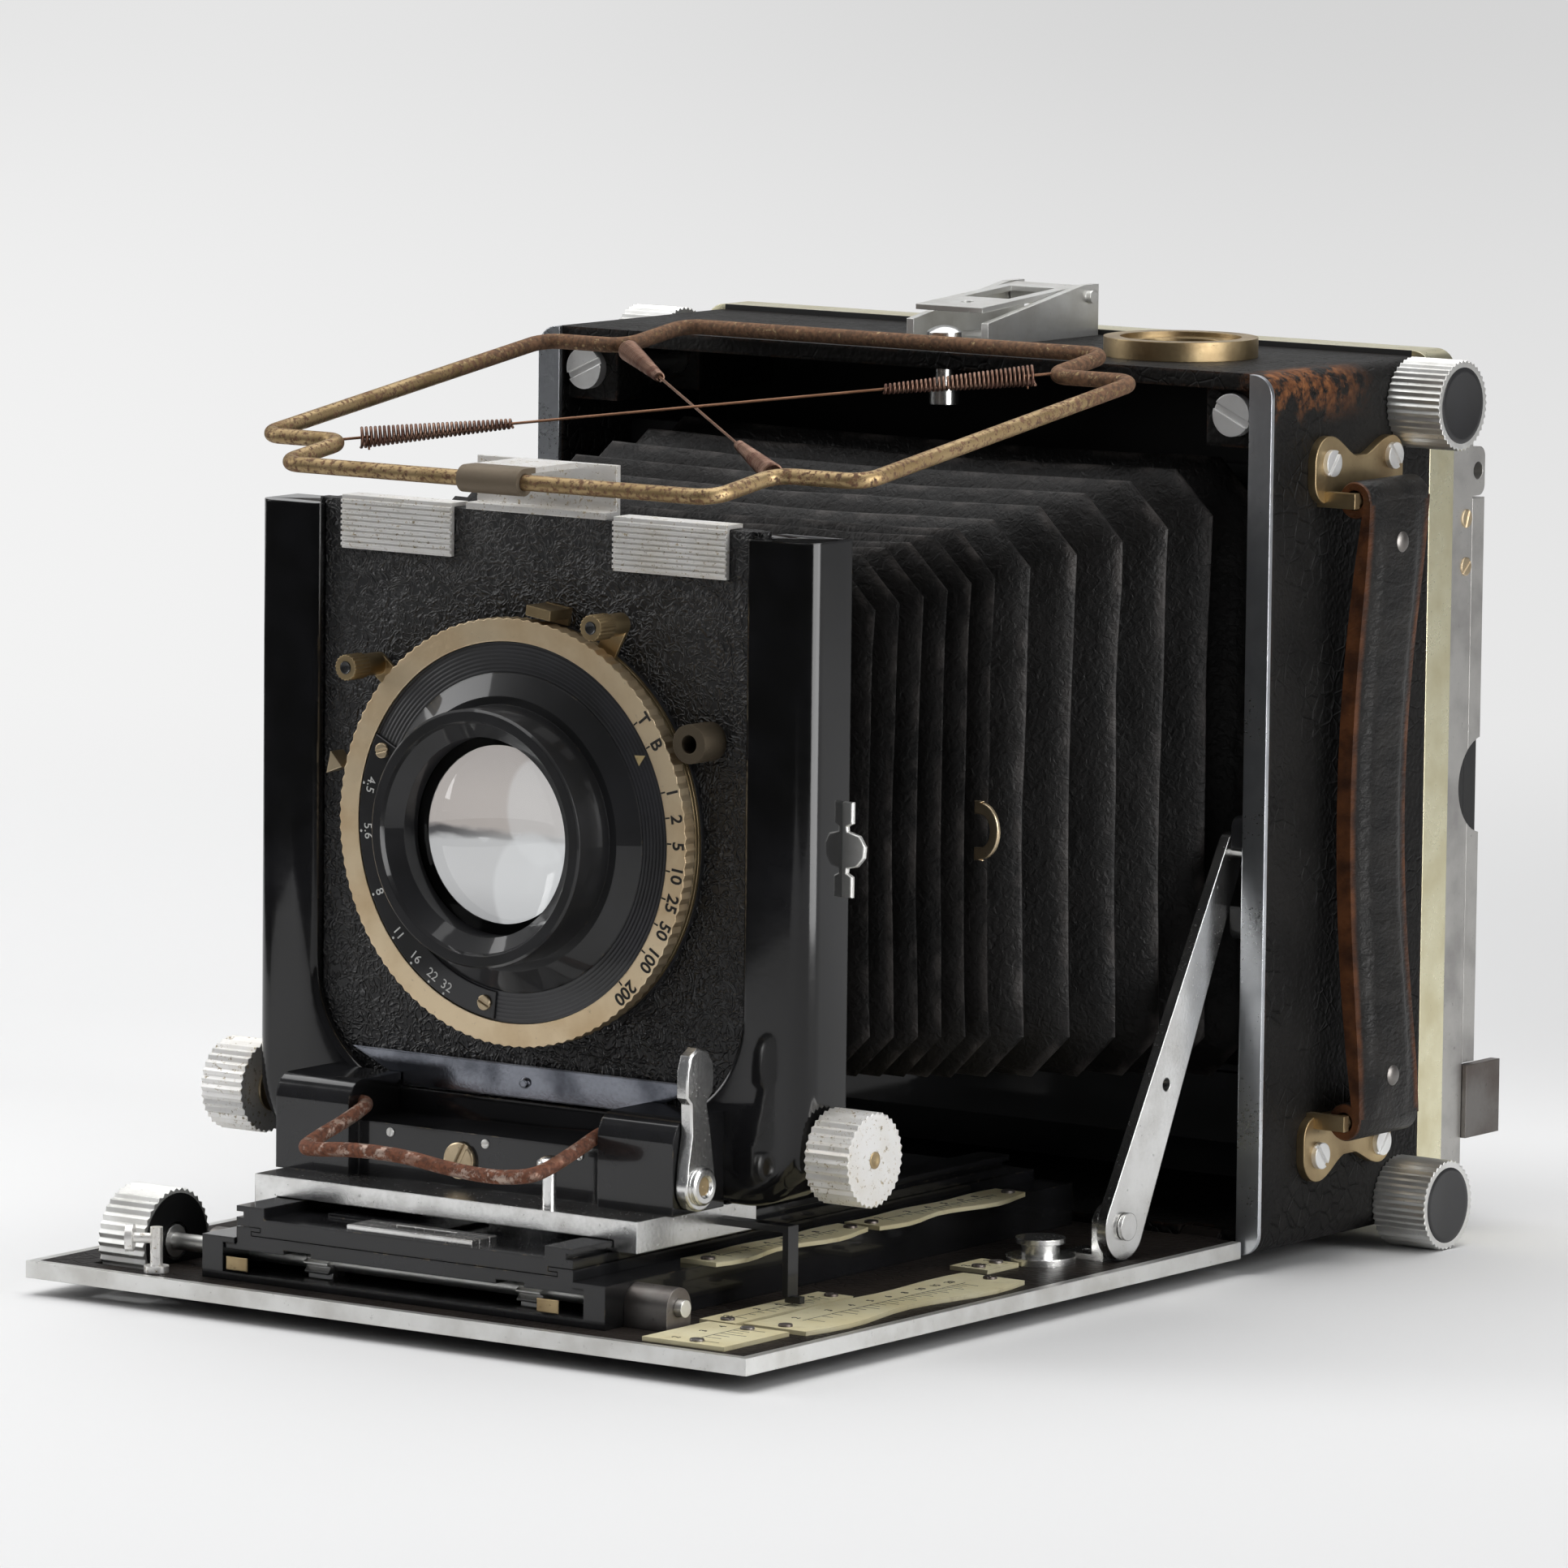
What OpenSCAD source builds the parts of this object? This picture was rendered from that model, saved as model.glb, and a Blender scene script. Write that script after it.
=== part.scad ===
// Folding press camera: drop bed with rack focus, rising front, rim-set shutter, extension back.
// Axes: +X to the right seen from the front, +Y from the lens to the back, +Z up.
// Origin: mouth of the tripod bush, on the surface that the camera stands on.

/* [Body] */
// Width over the bright front strips
body_w = 161.6; // [156:0.2:172]
// Height of the body
body_h = 157.9; // [154:0.1:166]
// Depth of the leather-covered box
body_d = 53; // [50:1:60]
// Thickness of the side walls
side_wall = 4.7; // [3.8:0.1:5.5]
// Thickness of the top wall
top_wall = 3; // [2.4:0.1:4]
// Thickness of the floor
floor_wall = 4; // [3.5:0.1:5]
// Outer corner radius
body_r = 4; // [2:0.5:4.5]
// Thickness of the bright strips
strip_t = 1; // [0.6:0.1:1.2]
// Radius of a bed catch screw head
catch_r = 3.85; // [3.2:0.05:4.4]
// Height of the body underside above the bed underside
body_lift = 0.4; // [0.2:0.1:0.8]

/* [Straps] */
// Width of a carrying strap
strap_w = 20; // [16:1:24]
// Thickness of a strap band
strap_t = 3.6; // [2.4:0.2:4]
// Height of a strap between its two bars
strap_len = 112; // [96:1:116]
// Depth of the strap centre line behind the front
strap_y = 27.4; // [24:0.2:30]
// Distance from the body side to the centre of a strap bar
bar_out = 6.6; // [6.2:0.1:8]
// Radius of a strap bar
bar_r = 1.4; // [1.1:0.1:1.8]
// How far the middle of a strap falls back towards the body
strap_sag = 4; // [0:0.2:5]

/* [Top fittings] */
// Length of the peep sight base
sight_len = 36; // [30:1:40]
// Width of the peep sight base
sight_w = 18; // [14:1:22]
// Height of the sight cheeks at the back
sight_h = 9.5; // [8:0.5:11]
// Outer radius of the accessory ring
shoe_r = 14; // [11:0.5:15]
// Radius of the hole in the accessory ring
shoe_hole_r = 8.5; // [6:0.5:10]
// Height of the accessory ring
shoe_h = 3.5; // [2.5:0.1:4.5]
// Radius of the bed release button
button_r = 3.25; // [2.6:0.05:3.6]
// Travel of the bed release button
button_travel = 1.8; // [1:0.1:2]

/* [Back] */
// Depth of the nickel back frame
back_frame_d = 8.2; // [6:0.2:10]
// Thickness of the grey back plate
back_plate_t = 10.8; // [9:0.2:12]
// Thickness of the focusing screen lid
lid_t = 4.2; // [3.8:0.2:5]
// Width of the picture opening
gate_w = 122; // [110:1:126]
// Height of the picture opening
gate_h = 96; // [86:1:100]
// Thickness of the focusing screen
screen_t = 1.6; // [1.2:0.1:2]
// Radius of a back rod
rod_r = 3; // [2.2:0.1:3.2]
// Length of a back rod
rod_len = 42; // [40:1:44]

/* [Clamp knobs] */
// Radius of a clamp knob
clamp_r = 8.2; // [7.4:0.1:8.6]
// Length of a clamp knob
clamp_len = 11; // [8:0.5:13]
// Radius of a clamp screw
clamp_screw_r = 2; // [1.5:0.1:2.4]
// Distance from a clamp knob's axis to the back of the body
clamp_back = 7; // [6:0.5:9]

/* [Bed] */
// Width of the bed
bed_w = 155.5; // [153.5:0.1:160]
// Length of the bed
bed_len = 152.6; // [148:0.1:160]
// Thickness of the bed
bed_t = 3; // [2.6:0.1:3.6]
// Width of the bright edge strip
bed_trim_w = 1.75; // [1:0.05:2.2]
// Gap between the bed and the body
bed_gap = 0.8; // [0.7:0.1:1.4]
// Radius of a hinge pin
hinge_r = 1; // [0.8:0.05:1.1]

/* [Tripod bush] */
// Radius of the bush flange
bush_r = 16; // [12:0.5:18]
// Thickness of the bush flange
bush_t = 3; // [2.8:0.1:3.6]
// Radius of the bush hole
bush_hole_r = 4; // [3:0.1:4.8]

/* [Tracks] */
// Width of the base rail
rail_w = 87; // [84:0.5:92]
// Height of the base rail
rail_h = 7.6; // [7.6:0.1:8.4]
// Distance from the front edge of the bed to the base rail
rail_in = 6.6; // [4:0.2:10]
// Width of a side rail on the upper track
runner_w = 6; // [5:0.2:7]
// Thickness of the carriage bar
bar_t = 3.5; // [3:0.1:4.5]

/* [Focus drive] */
// Module of the focus and rise teeth
tooth_m = 0.5; // [0.5:0.01:0.52]
// Teeth on a pinion
pinion_z = 12; // [12:1:12]
// Radius of the focus shaft
shaft_r = 1.5; // [1.2:0.05:1.6]
// Radius of the focus knob
focus_r = 9.4; // [8.4:0.1:9.6]
// Length of the focus knob
focus_len = 10; // [8:0.5:11]
// Distance from the front edge of the bed to the focus shaft
focus_in = 15.6; // [14:0.2:18]

/* [Struts] */
// Thickness of a bed strut
strut_t = 2; // [1.4:0.1:2.2]
// Radius of the wide lower end of a strut
strut_r1 = 6; // [5:0.1:6.2]
// Radius of the narrow upper end of a strut
strut_r2 = 3; // [2.4:0.1:3.2]
// Radius of a strut pin
strut_pin_r = 1.5; // [1.1:0.05:1.7]

/* [Standard] */
// Width over the two columns
std_w = 120; // [118:0.5:123]
// Width of a column
column_w = 14; // [12.5:0.2:14.4]
// Depth of a column
column_d = 12; // [11.4:0.1:13]
// Height of the column tops above the bed
column_top = 132.5; // [128:0.5:135]
// Height of the base block
block_h = 16.6; // [15:0.2:18]
// Depth of the base block in front of the columns
block_d = 15; // [12:0.5:17]
// Inner corner radius at the foot of the columns
foot_r = 20; // [12:1:24]
// Radius of a rise knob
rise_r = 8.3; // [7:0.1:8.6]
// Length of a rise knob
rise_len = 9; // [7:0.5:11]
// Rise of the lens panel
rise_travel = 9; // [6:0.5:9]
// Thickness of the lens board
board_t = 4.3; // [3.6:0.1:4.6]
// Radius of the bail wire
bail_r = 1.3; // [1:0.1:1.6]
// Width of a board clip
clip_w = 24; // [18:0.5:27]

/* [Shutter] */
// Height of the lens axis above the bed
lens_z = 78.5; // [76:0.5:81]
// Radius of the speed ring
ring_r = 37.5; // [36:0.5:39]
// Radial width of the speed ring
ring_w = 4.2; // [3.4:0.1:4.6]
// Thickness of the speed ring
ring_t = 2.8; // [2.2:0.1:3.4]
// Thickness of a lever ring
lever_t = 0.7; // [0.5:0.05:0.9]
// Radius of the lens barrel
barrel_r = 22.5; // [21:0.1:23.5]
// Length of the lens barrel in front of the shutter
barrel_len = 10.7; // [9:0.1:12]
// Radius of the front lens
glass_r = 17.4; // [16:0.1:18]
// Radius of the rear lens cell
rear_r = 17; // [14:0.5:19]

/* [Wire finder] */
// Radius of the frame wire
wire_r = 1.4; // [1.1:0.05:1.6]
// Width over the sides of the wire frame
wire_w = 130; // [124:1:136]
// Length of the wire frame
wire_len = 121; // [116:0.5:121]
// Size of the square step in each corner
wire_step = 18.5; // [16:0.5:20]
// Bend radius of the frame wire
wire_bend = 4; // [3:0.2:5]
// Height of the frame's hinge above the lens board
wire_lift = 6.8; // [6.6:0.1:8]
// Curls in one cross wire spring
curls = 20; // [16:1:20]
// Length of the curls of one spring
spring_len = 25; // [25:0.5:28]
// Radius of the spring at the frame
spring_r1 = 2.3; // [2:0.1:2.6]
// Radius of the spring at the cross wire
spring_r2 = 0.9; // [0.8:0.05:1.2]
// Radius of the spring wire
spring_wire_r = 0.28; // [0.2:0.01:0.3]

/* [Bellows] */
// Half width of the front folds
bellows_w1 = 57; // [52:0.5:58]
// Half width of the rear folds
bellows_w2 = 68; // [62:0.5:69]
// Half height of the front folds
bellows_h1 = 44; // [40:0.5:46]
// Half height of the rear folds
bellows_h2 = 57; // [52:0.5:58]
// Folds in the tight front stretch
tight_folds = 7; // [5:1:7]
// Folds in the open rear stretch
open_folds = 6; // [5:1:8]
// Length of the tight front stretch
tight_len = 45; // [40:1:48]
// Depth of a fold
fold_d = 9.5; // [7:0.5:10]
// Thickness of the bellows leather
bellows_t = 1; // [0.7:0.1:1.2]

/* [Fits] */
// Running clearance of a shaft in its hole
run = 0.08; // [0.05:0.01:0.1]
// Clearance between sliding flat faces
slip = 0.15; // [0.1:0.01:0.2]
// Clear space between parts that pass each other
clear = 0.4; // [0.3:0.05:0.6]

/* [Hidden] */
$fn = 48;
eps = 0.02;

// Heights and depths of the body and the bed
bed_z0 = bush_t;
bed_top = bush_t + bed_t;
front = bed_len / 2;
bed_y0 = -bed_len / 2;
bed_y1 = front - bed_gap;
bed_x = bed_w / 2 - bed_trim_w;
body_x = body_w / 2;
body_z0 = bed_z0 + body_lift;
body_z1 = body_z0 + body_h;
body_y0 = front + strip_t;
body_y1 = front + body_d;
cav_x = body_x - side_wall;
cav_z0 = body_z0 + floor_wall;
cav_z1 = body_z1 - top_wall;
body_zc = (body_z0 + body_z1) / 2;

// Clamp screws, back rods and the bosses that hold them
clamp_y = body_y1 - clamp_back;
clamp_low = clamp_r;
clamp_high = body_z1 - clamp_r + 0.6;
boss_w = 2 * rod_r + 5;
boss_len = 24;
rod_x = cav_x - boss_w / 2;
boss_y0 = body_y1 - boss_len;

// Extension back
back_y0 = body_y1 + slip;
rod_seat = 4;
rod_y0 = back_y0 + rod_seat - rod_len;
back_y1 = back_y0 + back_frame_d;
plate_y1 = back_y1 + back_plate_t;
lid_y1 = plate_y1 + lid_t;
back_x = body_x - 2.6;
back_z0 = body_z0 + 3;
back_z1 = body_z1 - 3;
back_wall = 2;
sleeve_x = gate_w / 2 + 2;
sleeve_h = gate_h / 2 + 2;
ear_r = 2.2;
lid_pin_r = 1;
lid_hinge_x = ear_r - back_x;
lid_hinge_y = plate_y1 + ear_r;
lug_w = 4.5;
eye_z = body_zc + 52.2;
eye_h = 9;
eye_r = 1.6;
eye_hole_y = plate_y1 + 1.85;
eye_hole_z = eye_z + 4.6;
latch_z = bed_top + 11;
latch_h = 11.5;
latch_len = 11.7;
latch_top = latch_z + latch_h + 1;

// Bed hinge
hinge_y = front + 2.4;
hinge_z = body_z0 + floor_wall / 2;
knuckle_r = 1.9;
tongue_x = 64;
tongue_w = 8;

// Tracks, one above the other
rail_y0 = bed_y0 + rail_in;
rail_y1 = bed_y1 - 3;
rail_x = rail_w / 2;
rail_wall = 4.5;
rail_lip = 2.5;
rail_floor = 1.4;
lip_t = 1;
rail_in_x = rail_x - rail_wall;
mouth_x = rail_in_x - rail_lip;
rail_z1 = bed_top + rail_h;
lip_z0 = rail_z1 - lip_t;
tongue_t = 0.9;
track_z0 = lip_z0 - slip - tongue_t;
track_z1 = rail_z1 + 2;
track_y0 = rail_y0 + 0.5;
track_y1 = rail_y1 - 2;
track_x = mouth_x - slip;
slot_z0 = track_z1 - 1.5;
slot_z1 = track_z1 - 0.6;
slot_x = track_x - 3.2;
slot_mouth = slot_x - 2;
upper_z0 = track_z1 + slip;
upper_z1 = upper_z0 + 1.5;
upper_x = track_x;
upper_y1 = track_y1 - 8;
runner_z1 = upper_z1 + 2;
runner_mid = upper_z1 + 1;
runner_cut = 1.5;

// Focus pinion under the focus track
pitch_r = tooth_m * pinion_z / 2;
tip_r = pitch_r + 0.8 * tooth_m;
root_r = pitch_r - 1.2 * tooth_m;
pitch = PI * tooth_m;
rack_z = track_z0 + 1.2;
shaft_z = rack_z - pitch_r;
shaft_y = bed_y0 + focus_in;
rack_x = 20;
rack_w = 6;
focus_x1 = -rail_x - 13;
focus_x0 = focus_x1 - focus_len;
bearing_x = rail_x + 9;
bearing_r = shaft_r + 2;

// Carriage and standard
car_y0 = bed_y0 + 18.6;
car_x = upper_x + 5;
car_z0 = runner_z1 + slip;
car_z1 = car_z0 + bar_t;
std_y0 = car_y0 + 23;
std_y1 = std_y0 + column_d;
std_x = std_w / 2;
std_top = bed_top + column_top;
open_x = std_x - column_w;
flange_t = 1.8;
block_y0 = std_y0 - block_d;
block_z1 = car_z1 + block_h;
block_x = std_x - 17;
housing_w = 16;
sill_z = car_z1 + 14;
foot_out_r = 14;
groove_d = 2;

// Lens panel, its racks and the rise shaft
board_y0 = std_y0 + flange_t + slip;
board_y1 = board_y0 + board_t;
board_x = open_x - slip;
board_z0 = sill_z + slip;
board_z1 = std_top + 1;
rise_y = board_y1;
rise_z = sill_z - 4;
rise_shaft_r = 2;
rise_rack_y = rise_y + pitch_r;
rise_x0 = std_x + 1.2;
box_x = open_x - 1.5;
box_y1 = std_y1 + 0.2;
box_z0 = board_z0 + 3;
box_z1 = board_z1 - 4;
box_wall = 2;
rack_leg_x = 36;
clip_x0 = open_x - 4.5 - clip_w;
bracket_x = clip_x0 - 2.5;

// Shutter and lens, measured forward from the lens board
axis_z = bed_top + lens_z;
face = -board_y0;
hub_r = ring_r - ring_w;
flange_r = ring_r - 0.7;
case_t = 0.9;
ring_z0 = face + case_t + 3 * (lever_t + slip) + slip;
ring_z1 = ring_z0 + ring_t;
hub_z1 = ring_z1 - 0.4;
barrel_z1 = ring_z1 + barrel_len;
throat_r = glass_r - 2.4;
knob_r = 2.3;
rear_len = 20;
cable_hole_r = 1.6;
cable_r = 3.4;
knob_at = ring_r + 5;

// Wire finder, hinged on a bracket on top of the lens board
wire_z = board_z1 + wire_lift;
wire_y = board_y0 - 12;
wire_rise = body_z1 + wire_r + clear - wire_z;
wire_tilt = asin(wire_rise / wire_len);
wire_x = wire_w / 2;
step_x = wire_x - wire_step;
spring_in = 4;
cross_r = 0.25;
cross_lift = 0.4;

// Bellows
bel_y0 = box_y1 + 0.3;
bel_y1 = front + 23;
bel_zc = (board_z0 + board_z1) / 2;
bel_frame_t = 4;

// Struts
strut_x1 = cav_x - 3.4;
strut_x0 = strut_x1 - strut_t;
strut_y = bed_y1 - 30;
strut_z = bed_top + strut_r1 + 0.2;
top_pin_y = hinge_y + 0.8;
top_pin_z = bed_top + 70;
strut_len = norm([top_pin_y - strut_y, top_pin_z - strut_z]);
strut_a = atan2(top_pin_z - strut_z, top_pin_y - strut_y);
guide_drop = 10;
strut_hole_at = 27;
guide_r = strut_pin_r + clear + 0.3;

// Small pieces on the bed, the tracks and the block
bush_boss_r = 7;
scale_t = 0.8;
scale_x0 = rail_x + 8;
scale_x1 = rail_x + 16.5;
stop_x = rail_x + 18.5;
rail_sc_y = rail_y0 + 28;
focus_travel = 45;
lock_x = -rail_x - 9;
lock_y = shaft_y - 10.5;
bail_x = block_x - housing_w - 2;
bail_y = block_y0 + 4;
bail_z = block_z1 - 4;
block_mid_z = bail_z - bail_r - 1.7;
bail_pin = 6;
bail_len = 21;
bail_bend = 2.4;
bail_droop = 17;
lever_pin_r = 1.6;
lever_y = block_y0 + 5;
lever_z = car_z1 + 5;
hook_w = 13;

// Fittings on the sides and the top of the body
strap_yc = front + strap_y;
lug_t = 1.6;
lug_pitch = 20.6;
lug_r = 3.6;
lug_z = strap_len / 2 + 6.4;
lug_screw_r = 2.4;
sight_y0 = front + 16;
sight_y1 = sight_y0 + sight_len;
cheek_t = 1.5;
sight_pin_r = 1.2;
sight_pin_y = sight_y1 - 3;
sight_pin_z = body_z1 + sight_h - 2.2;
leaf_len = sight_len - 3.5;
leaf_tilt = 4;
shoe_x = 45;
shoe_y = max(front + 25, wire_y + wire_len * cos(wire_tilt) + wire_r + clear + shoe_r);
button_x = 5;
button_y = front + 8;

module box(x0, x1, y0, y1, z0, z1) {
  translate([x0, y0, z0]) cube([x1 - x0, y1 - y0, z1 - z0]);
}

module rod_along_x(r, x0, x1, y, z) {
  translate([x0, y, z]) rotate([0, 90, 0]) cylinder(r = r, h = x1 - x0);
}

module rod_along_y(r, y0, y1, x, z) {
  translate([x, y1, z]) rotate([90, 0, 0]) cylinder(r = r, h = y1 - y0);
}

module rod_along_z(r, z0, z1, x, y) {
  translate([x, y, z0]) cylinder(r = r, h = z1 - z0);
}

// Extrudes an outline given in X and Z between two depths
module slab_y(y0, y1) {
  translate([0, y1, 0]) rotate([90, 0, 0]) linear_extrude(y1 - y0) children();
}

// Extrudes an outline given in Y and Z between two widths
module slab_x(x0, x1) {
  translate([x0, 0, 0]) rotate([90, 0, 90]) linear_extrude(x1 - x0) children();
}

// Extrudes an outline given in X and Y between two heights
module slab_z(z0, z1) {
  translate([0, 0, z0]) linear_extrude(z1 - z0) children();
}

// Rectangle between two corners
module area(x0, x1, z0, z1) {
  translate([x0, z0]) square([x1 - x0, z1 - z0]);
}

// Rectangle between two corners with round corners
module round_area(x0, x1, z0, z1, r) {
  area(x0 + r, x1 - r, z0, z1);
  area(x0, x1, z0 + r, z1 - r);
  for (x = [x0 + r, x1 - r], z = [z0 + r, z1 - r]) translate([x, z]) circle(r);
}

// A copy on each side of the middle plane
module both() {
  children();
  mirror([1, 0, 0]) children();
}

// Places a piece that is modelled forward from the origin onto the lens axis
module on_lens() {
  translate([0, 0, axis_z]) rotate([90, 0, 0]) children();
}

// A bar between two points
module bar(a, b, r) {
  d = b - a;
  translate(a) rotate([0, acos(d[2] / norm(d)), atan2(d[1], d[0])]) cylinder(r = r, h = norm(d));
}

// A flat wire through points joined at right angles, with round bends
module bent_wire(pts, r, bend, closed) {
  n = len(pts);
  ends = closed ? 0 : 1;
  for (i = [ends : n - 1 - ends]) {
    p = pts[i];
    d0 = (p - pts[(i + n - 1) % n]) / norm(p - pts[(i + n - 1) % n]);
    d1 = (pts[(i + 1) % n] - p) / norm(pts[(i + 1) % n] - p);
    start = cross(d0, d1) > 0 ? -d1 : d0;
    c = p - bend * d0 + bend * d1;
    translate([c[0], c[1], 0]) rotate(atan2(start[1], start[0])) rotate_extrude(angle = 90)
      translate([bend, 0]) circle(r);
  }
  for (i = [0 : n - 1 - ends]) {
    p = pts[i];
    q = pts[(i + 1) % n];
    d = (q - p) / norm(q - p);
    a = p + d * (!closed && i == 0 ? 0 : bend);
    b = q - d * (!closed && i == n - 2 ? 0 : bend);
    bar([a[0], a[1], 0], [b[0], b[1], 0], r);
  }
}

// Outline of a knob with straight flutes
module fluted(r, n, depth) {
  polygon([for (i = [0 : 2 * n - 1]) (r - depth * (i % 2)) * [cos(180 * i / n), sin(180 * i / n)]]);
}

// Outline of a pinion with a tooth straight up
module pinion() {
  half = 180 / PI * 0.68 * tooth_m;
  polygon([for (i = [0 : pinion_z - 1]) let (a = 90 + 360 * i / pinion_z)
    each [for (k = [[root_r, -1.55 * half / root_r], [tip_r, -0.5 * half / tip_r],
      [tip_r, 0.5 * half / tip_r], [root_r, 1.55 * half / root_r]])
      k[0] * [cos(a + k[1]), sin(a + k[1])]]]);
}

// Row of tooth gaps along the first axis, cut from below, with a gap at the origin
module rack_gaps(first, last) {
  for (i = [first : last]) translate([i * pitch, 0])
    polygon([[-1.3 * tooth_m, -0.8 * tooth_m], [1.3 * tooth_m, -0.8 * tooth_m],
      [0.35 * tooth_m, 1.2 * tooth_m], [-0.35 * tooth_m, 1.2 * tooth_m]]);
}

// Body

module body_shell() {
  notch_y = hinge_y + knuckle_r + clear;
  color("#191817") difference() {
    union() {
      difference() {
        slab_y(body_y0, body_y1) round_area(-body_x, body_x, body_z0, body_z1, body_r);
        slab_y(body_y0 - 1, body_y1 + 1) area(-cav_x, cav_x, cav_z0, cav_z1);
      }
      both() {
        box(cav_x - boss_w, cav_x + eps, boss_y0, body_y1, cav_z0 - eps, clamp_low + boss_w / 2 + 1);
        box(cav_x - boss_w, cav_x + eps, boss_y0, body_y1, clamp_high - boss_w / 2, cav_z1 + eps);
        box(cav_x - boss_w, cav_x + eps, body_y0 + 2.2, body_y0 + 10,
          clamp_high - catch_r - 2, cav_z1 + eps);
      }
    }
    both() {
      box(tongue_x - clear, tongue_x + tongue_w + clear, body_y0 - 1, notch_y, body_z0 - 1, cav_z0 + 1);
      rod_along_x(hinge_r + run, tongue_x - 4, tongue_x + tongue_w + 4, hinge_y, hinge_z);
      for (z = [clamp_low, clamp_high]) {
        rod_along_y(rod_r + run, rod_y0 - 1, body_y1 + 1, rod_x, z);
        rod_along_x(clamp_screw_r + run, rod_x, body_x + 1, clamp_y, z);
      }
      rod_along_y(catch_r / 2 + run, body_y0, body_y0 + 8.5, cav_x - boss_w / 2 + 0.8, clamp_high);
    }
    rod_along_z(button_r / 2 + run, cav_z1 - 1, body_z1 + 1, button_x, button_y);
  }
}

// Bright strips on the two upright front edges
module front_trim() {
  color("#d9d9d6") both() slab_y(front, body_y0) intersection() {
    round_area(-body_x, body_x, body_z0, body_z1, body_r);
    area(cav_x, body_x, body_z0, body_z1);
  }
}

// Round screw head with a slot, pointing along the first axis
module screw_head(r, h) {
  difference() {
    cylinder(r = r, h = h);
    translate([-r - 1, -r / 6, h - 0.5]) cube([2 * r + 2, r / 3, 1]);
  }
}

module slotted_screws() {
  color("#d4d4d0") both() {
    translate([cav_x - boss_w / 2 + 0.8, body_y0 + 2.2, clamp_high]) rotate([90, 25, 0]) {
      screw_head(catch_r, 2);
      translate([0, 0, -6]) cylinder(r = catch_r / 2, h = 6 + eps);
    }
    for (end = [-1, 1], side = [-1, 1])
      translate([body_x + lug_t, strap_yc + side * lug_pitch / 2, body_zc + end * lug_z])
        rotate([0, 90, 0]) rotate([0, 0, 40 * side * end]) screw_head(lug_screw_r, 1);
  }
}

// Two-eared brass brackets with an outward bar
module strap_brackets() {
  color("#8a7448") both() for (end = [-1, 1]) {
    z = body_zc + end * lug_z;
    zb = body_zc + end * strap_len / 2;
    slab_x(body_x, body_x + lug_t) for (side = [-1, 1])
      translate([strap_yc + side * lug_pitch / 2, z]) circle(lug_r);
    box(body_x, body_x + lug_t, strap_yc - lug_pitch / 2, strap_yc + lug_pitch / 2, min(z, zb) - lug_t / 2,
      max(z, zb) + lug_t / 2);
    for (side = [-1, 1]) {
      y = strap_yc + side * (strap_w / 2 + clear + lug_t / 2);
      box(body_x, body_x + bar_out + bar_r, y - lug_t / 2, y + lug_t / 2, zb - bar_r, zb + bar_r);
    }
    y = strap_w / 2 + clear + eps;
    rod_along_y(bar_r, strap_yc - y, strap_yc + y, body_x + bar_out, zb);
  }
}

// Carrying straps: a band that falls back between two loops round the bars
module straps() {
  x0 = body_x + bar_out;
  loop_r = bar_r + clear;
  span = strap_len / 2;
  function fall(t) = x0 + loop_r - strap_sag * (1 - t * t);
  function swell(t) = strap_t * (0.75 + 0.45 * (1 - pow(t, 6)));
  color("#17140f") both() slab_y(strap_yc - strap_w / 2, strap_yc + strap_w / 2) {
    difference() {
      polygon(concat(
        [for (i = [-16 : 16]) [fall(i / 16), body_zc + span * i / 16]],
        [for (i = [16 : -1 : -16]) [fall(i / 16) + swell(i / 16) * 0.75, body_zc + span * i / 16]]));
      for (end = [-1, 1]) translate([x0, body_zc + end * span]) circle(loop_r);
    }
    for (end = [-1, 1]) translate([x0, body_zc + end * span]) difference() {
      circle(loop_r + 0.75 * strap_t * 0.75);
      circle(loop_r);
    }
  }
}

// Channel with raised cheeks on top of the body
module sight_base() {
  z = body_z1;
  color("#cfcfca") {
    box(-sight_w / 2, sight_w / 2, sight_y0, sight_y1, z, z + 1);
    both() slab_x(sight_w / 2 - cheek_t, sight_w / 2) polygon([[sight_y0, z], [sight_y1, z],
      [sight_y1, z + sight_h], [sight_y1 - 5, z + sight_h], [sight_y0, z + sight_h * 0.45]]);
    rod_along_x(sight_pin_r, -sight_w / 2 - 1, sight_w / 2 + 1, sight_pin_y, sight_pin_z);
  }
}

// Folded leaf with a square window and a peep hole, hinged on the rear pin
module peep_leaf() {
  x = sight_w / 2 - cheek_t - slip;
  color("#c9c9c4") translate([0, sight_pin_y, sight_pin_z]) rotate([leaf_tilt, 0, 0]) difference() {
    union() {
      rod_along_x(sight_pin_r + 0.8, -x, x, 0, 0);
      box(-x, x, -leaf_len, 0, sight_pin_r - 0.2, sight_pin_r + 0.8);
    }
    rod_along_x(sight_pin_r + run, -x - 1, x + 1, 0, 0);
    box(-x + 2.4, x - 2.4, -leaf_len + 12, -5, -2, 4);
    rod_along_z(1.2, -2, 4, 0, -leaf_len + 6);
  }
}

// Brass ring that takes an accessory foot
module accessory_ring() {
  color("#a08c5e") translate([shoe_x, shoe_y, body_z1]) difference() {
    cylinder(r = shoe_r, h = shoe_h);
    translate([0, 0, -1]) cylinder(r = shoe_hole_r, h = shoe_h + 2);
    translate([0, 0, shoe_h - 1]) cylinder(r = shoe_hole_r + 2.5, h = 2);
  }
}

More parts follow.
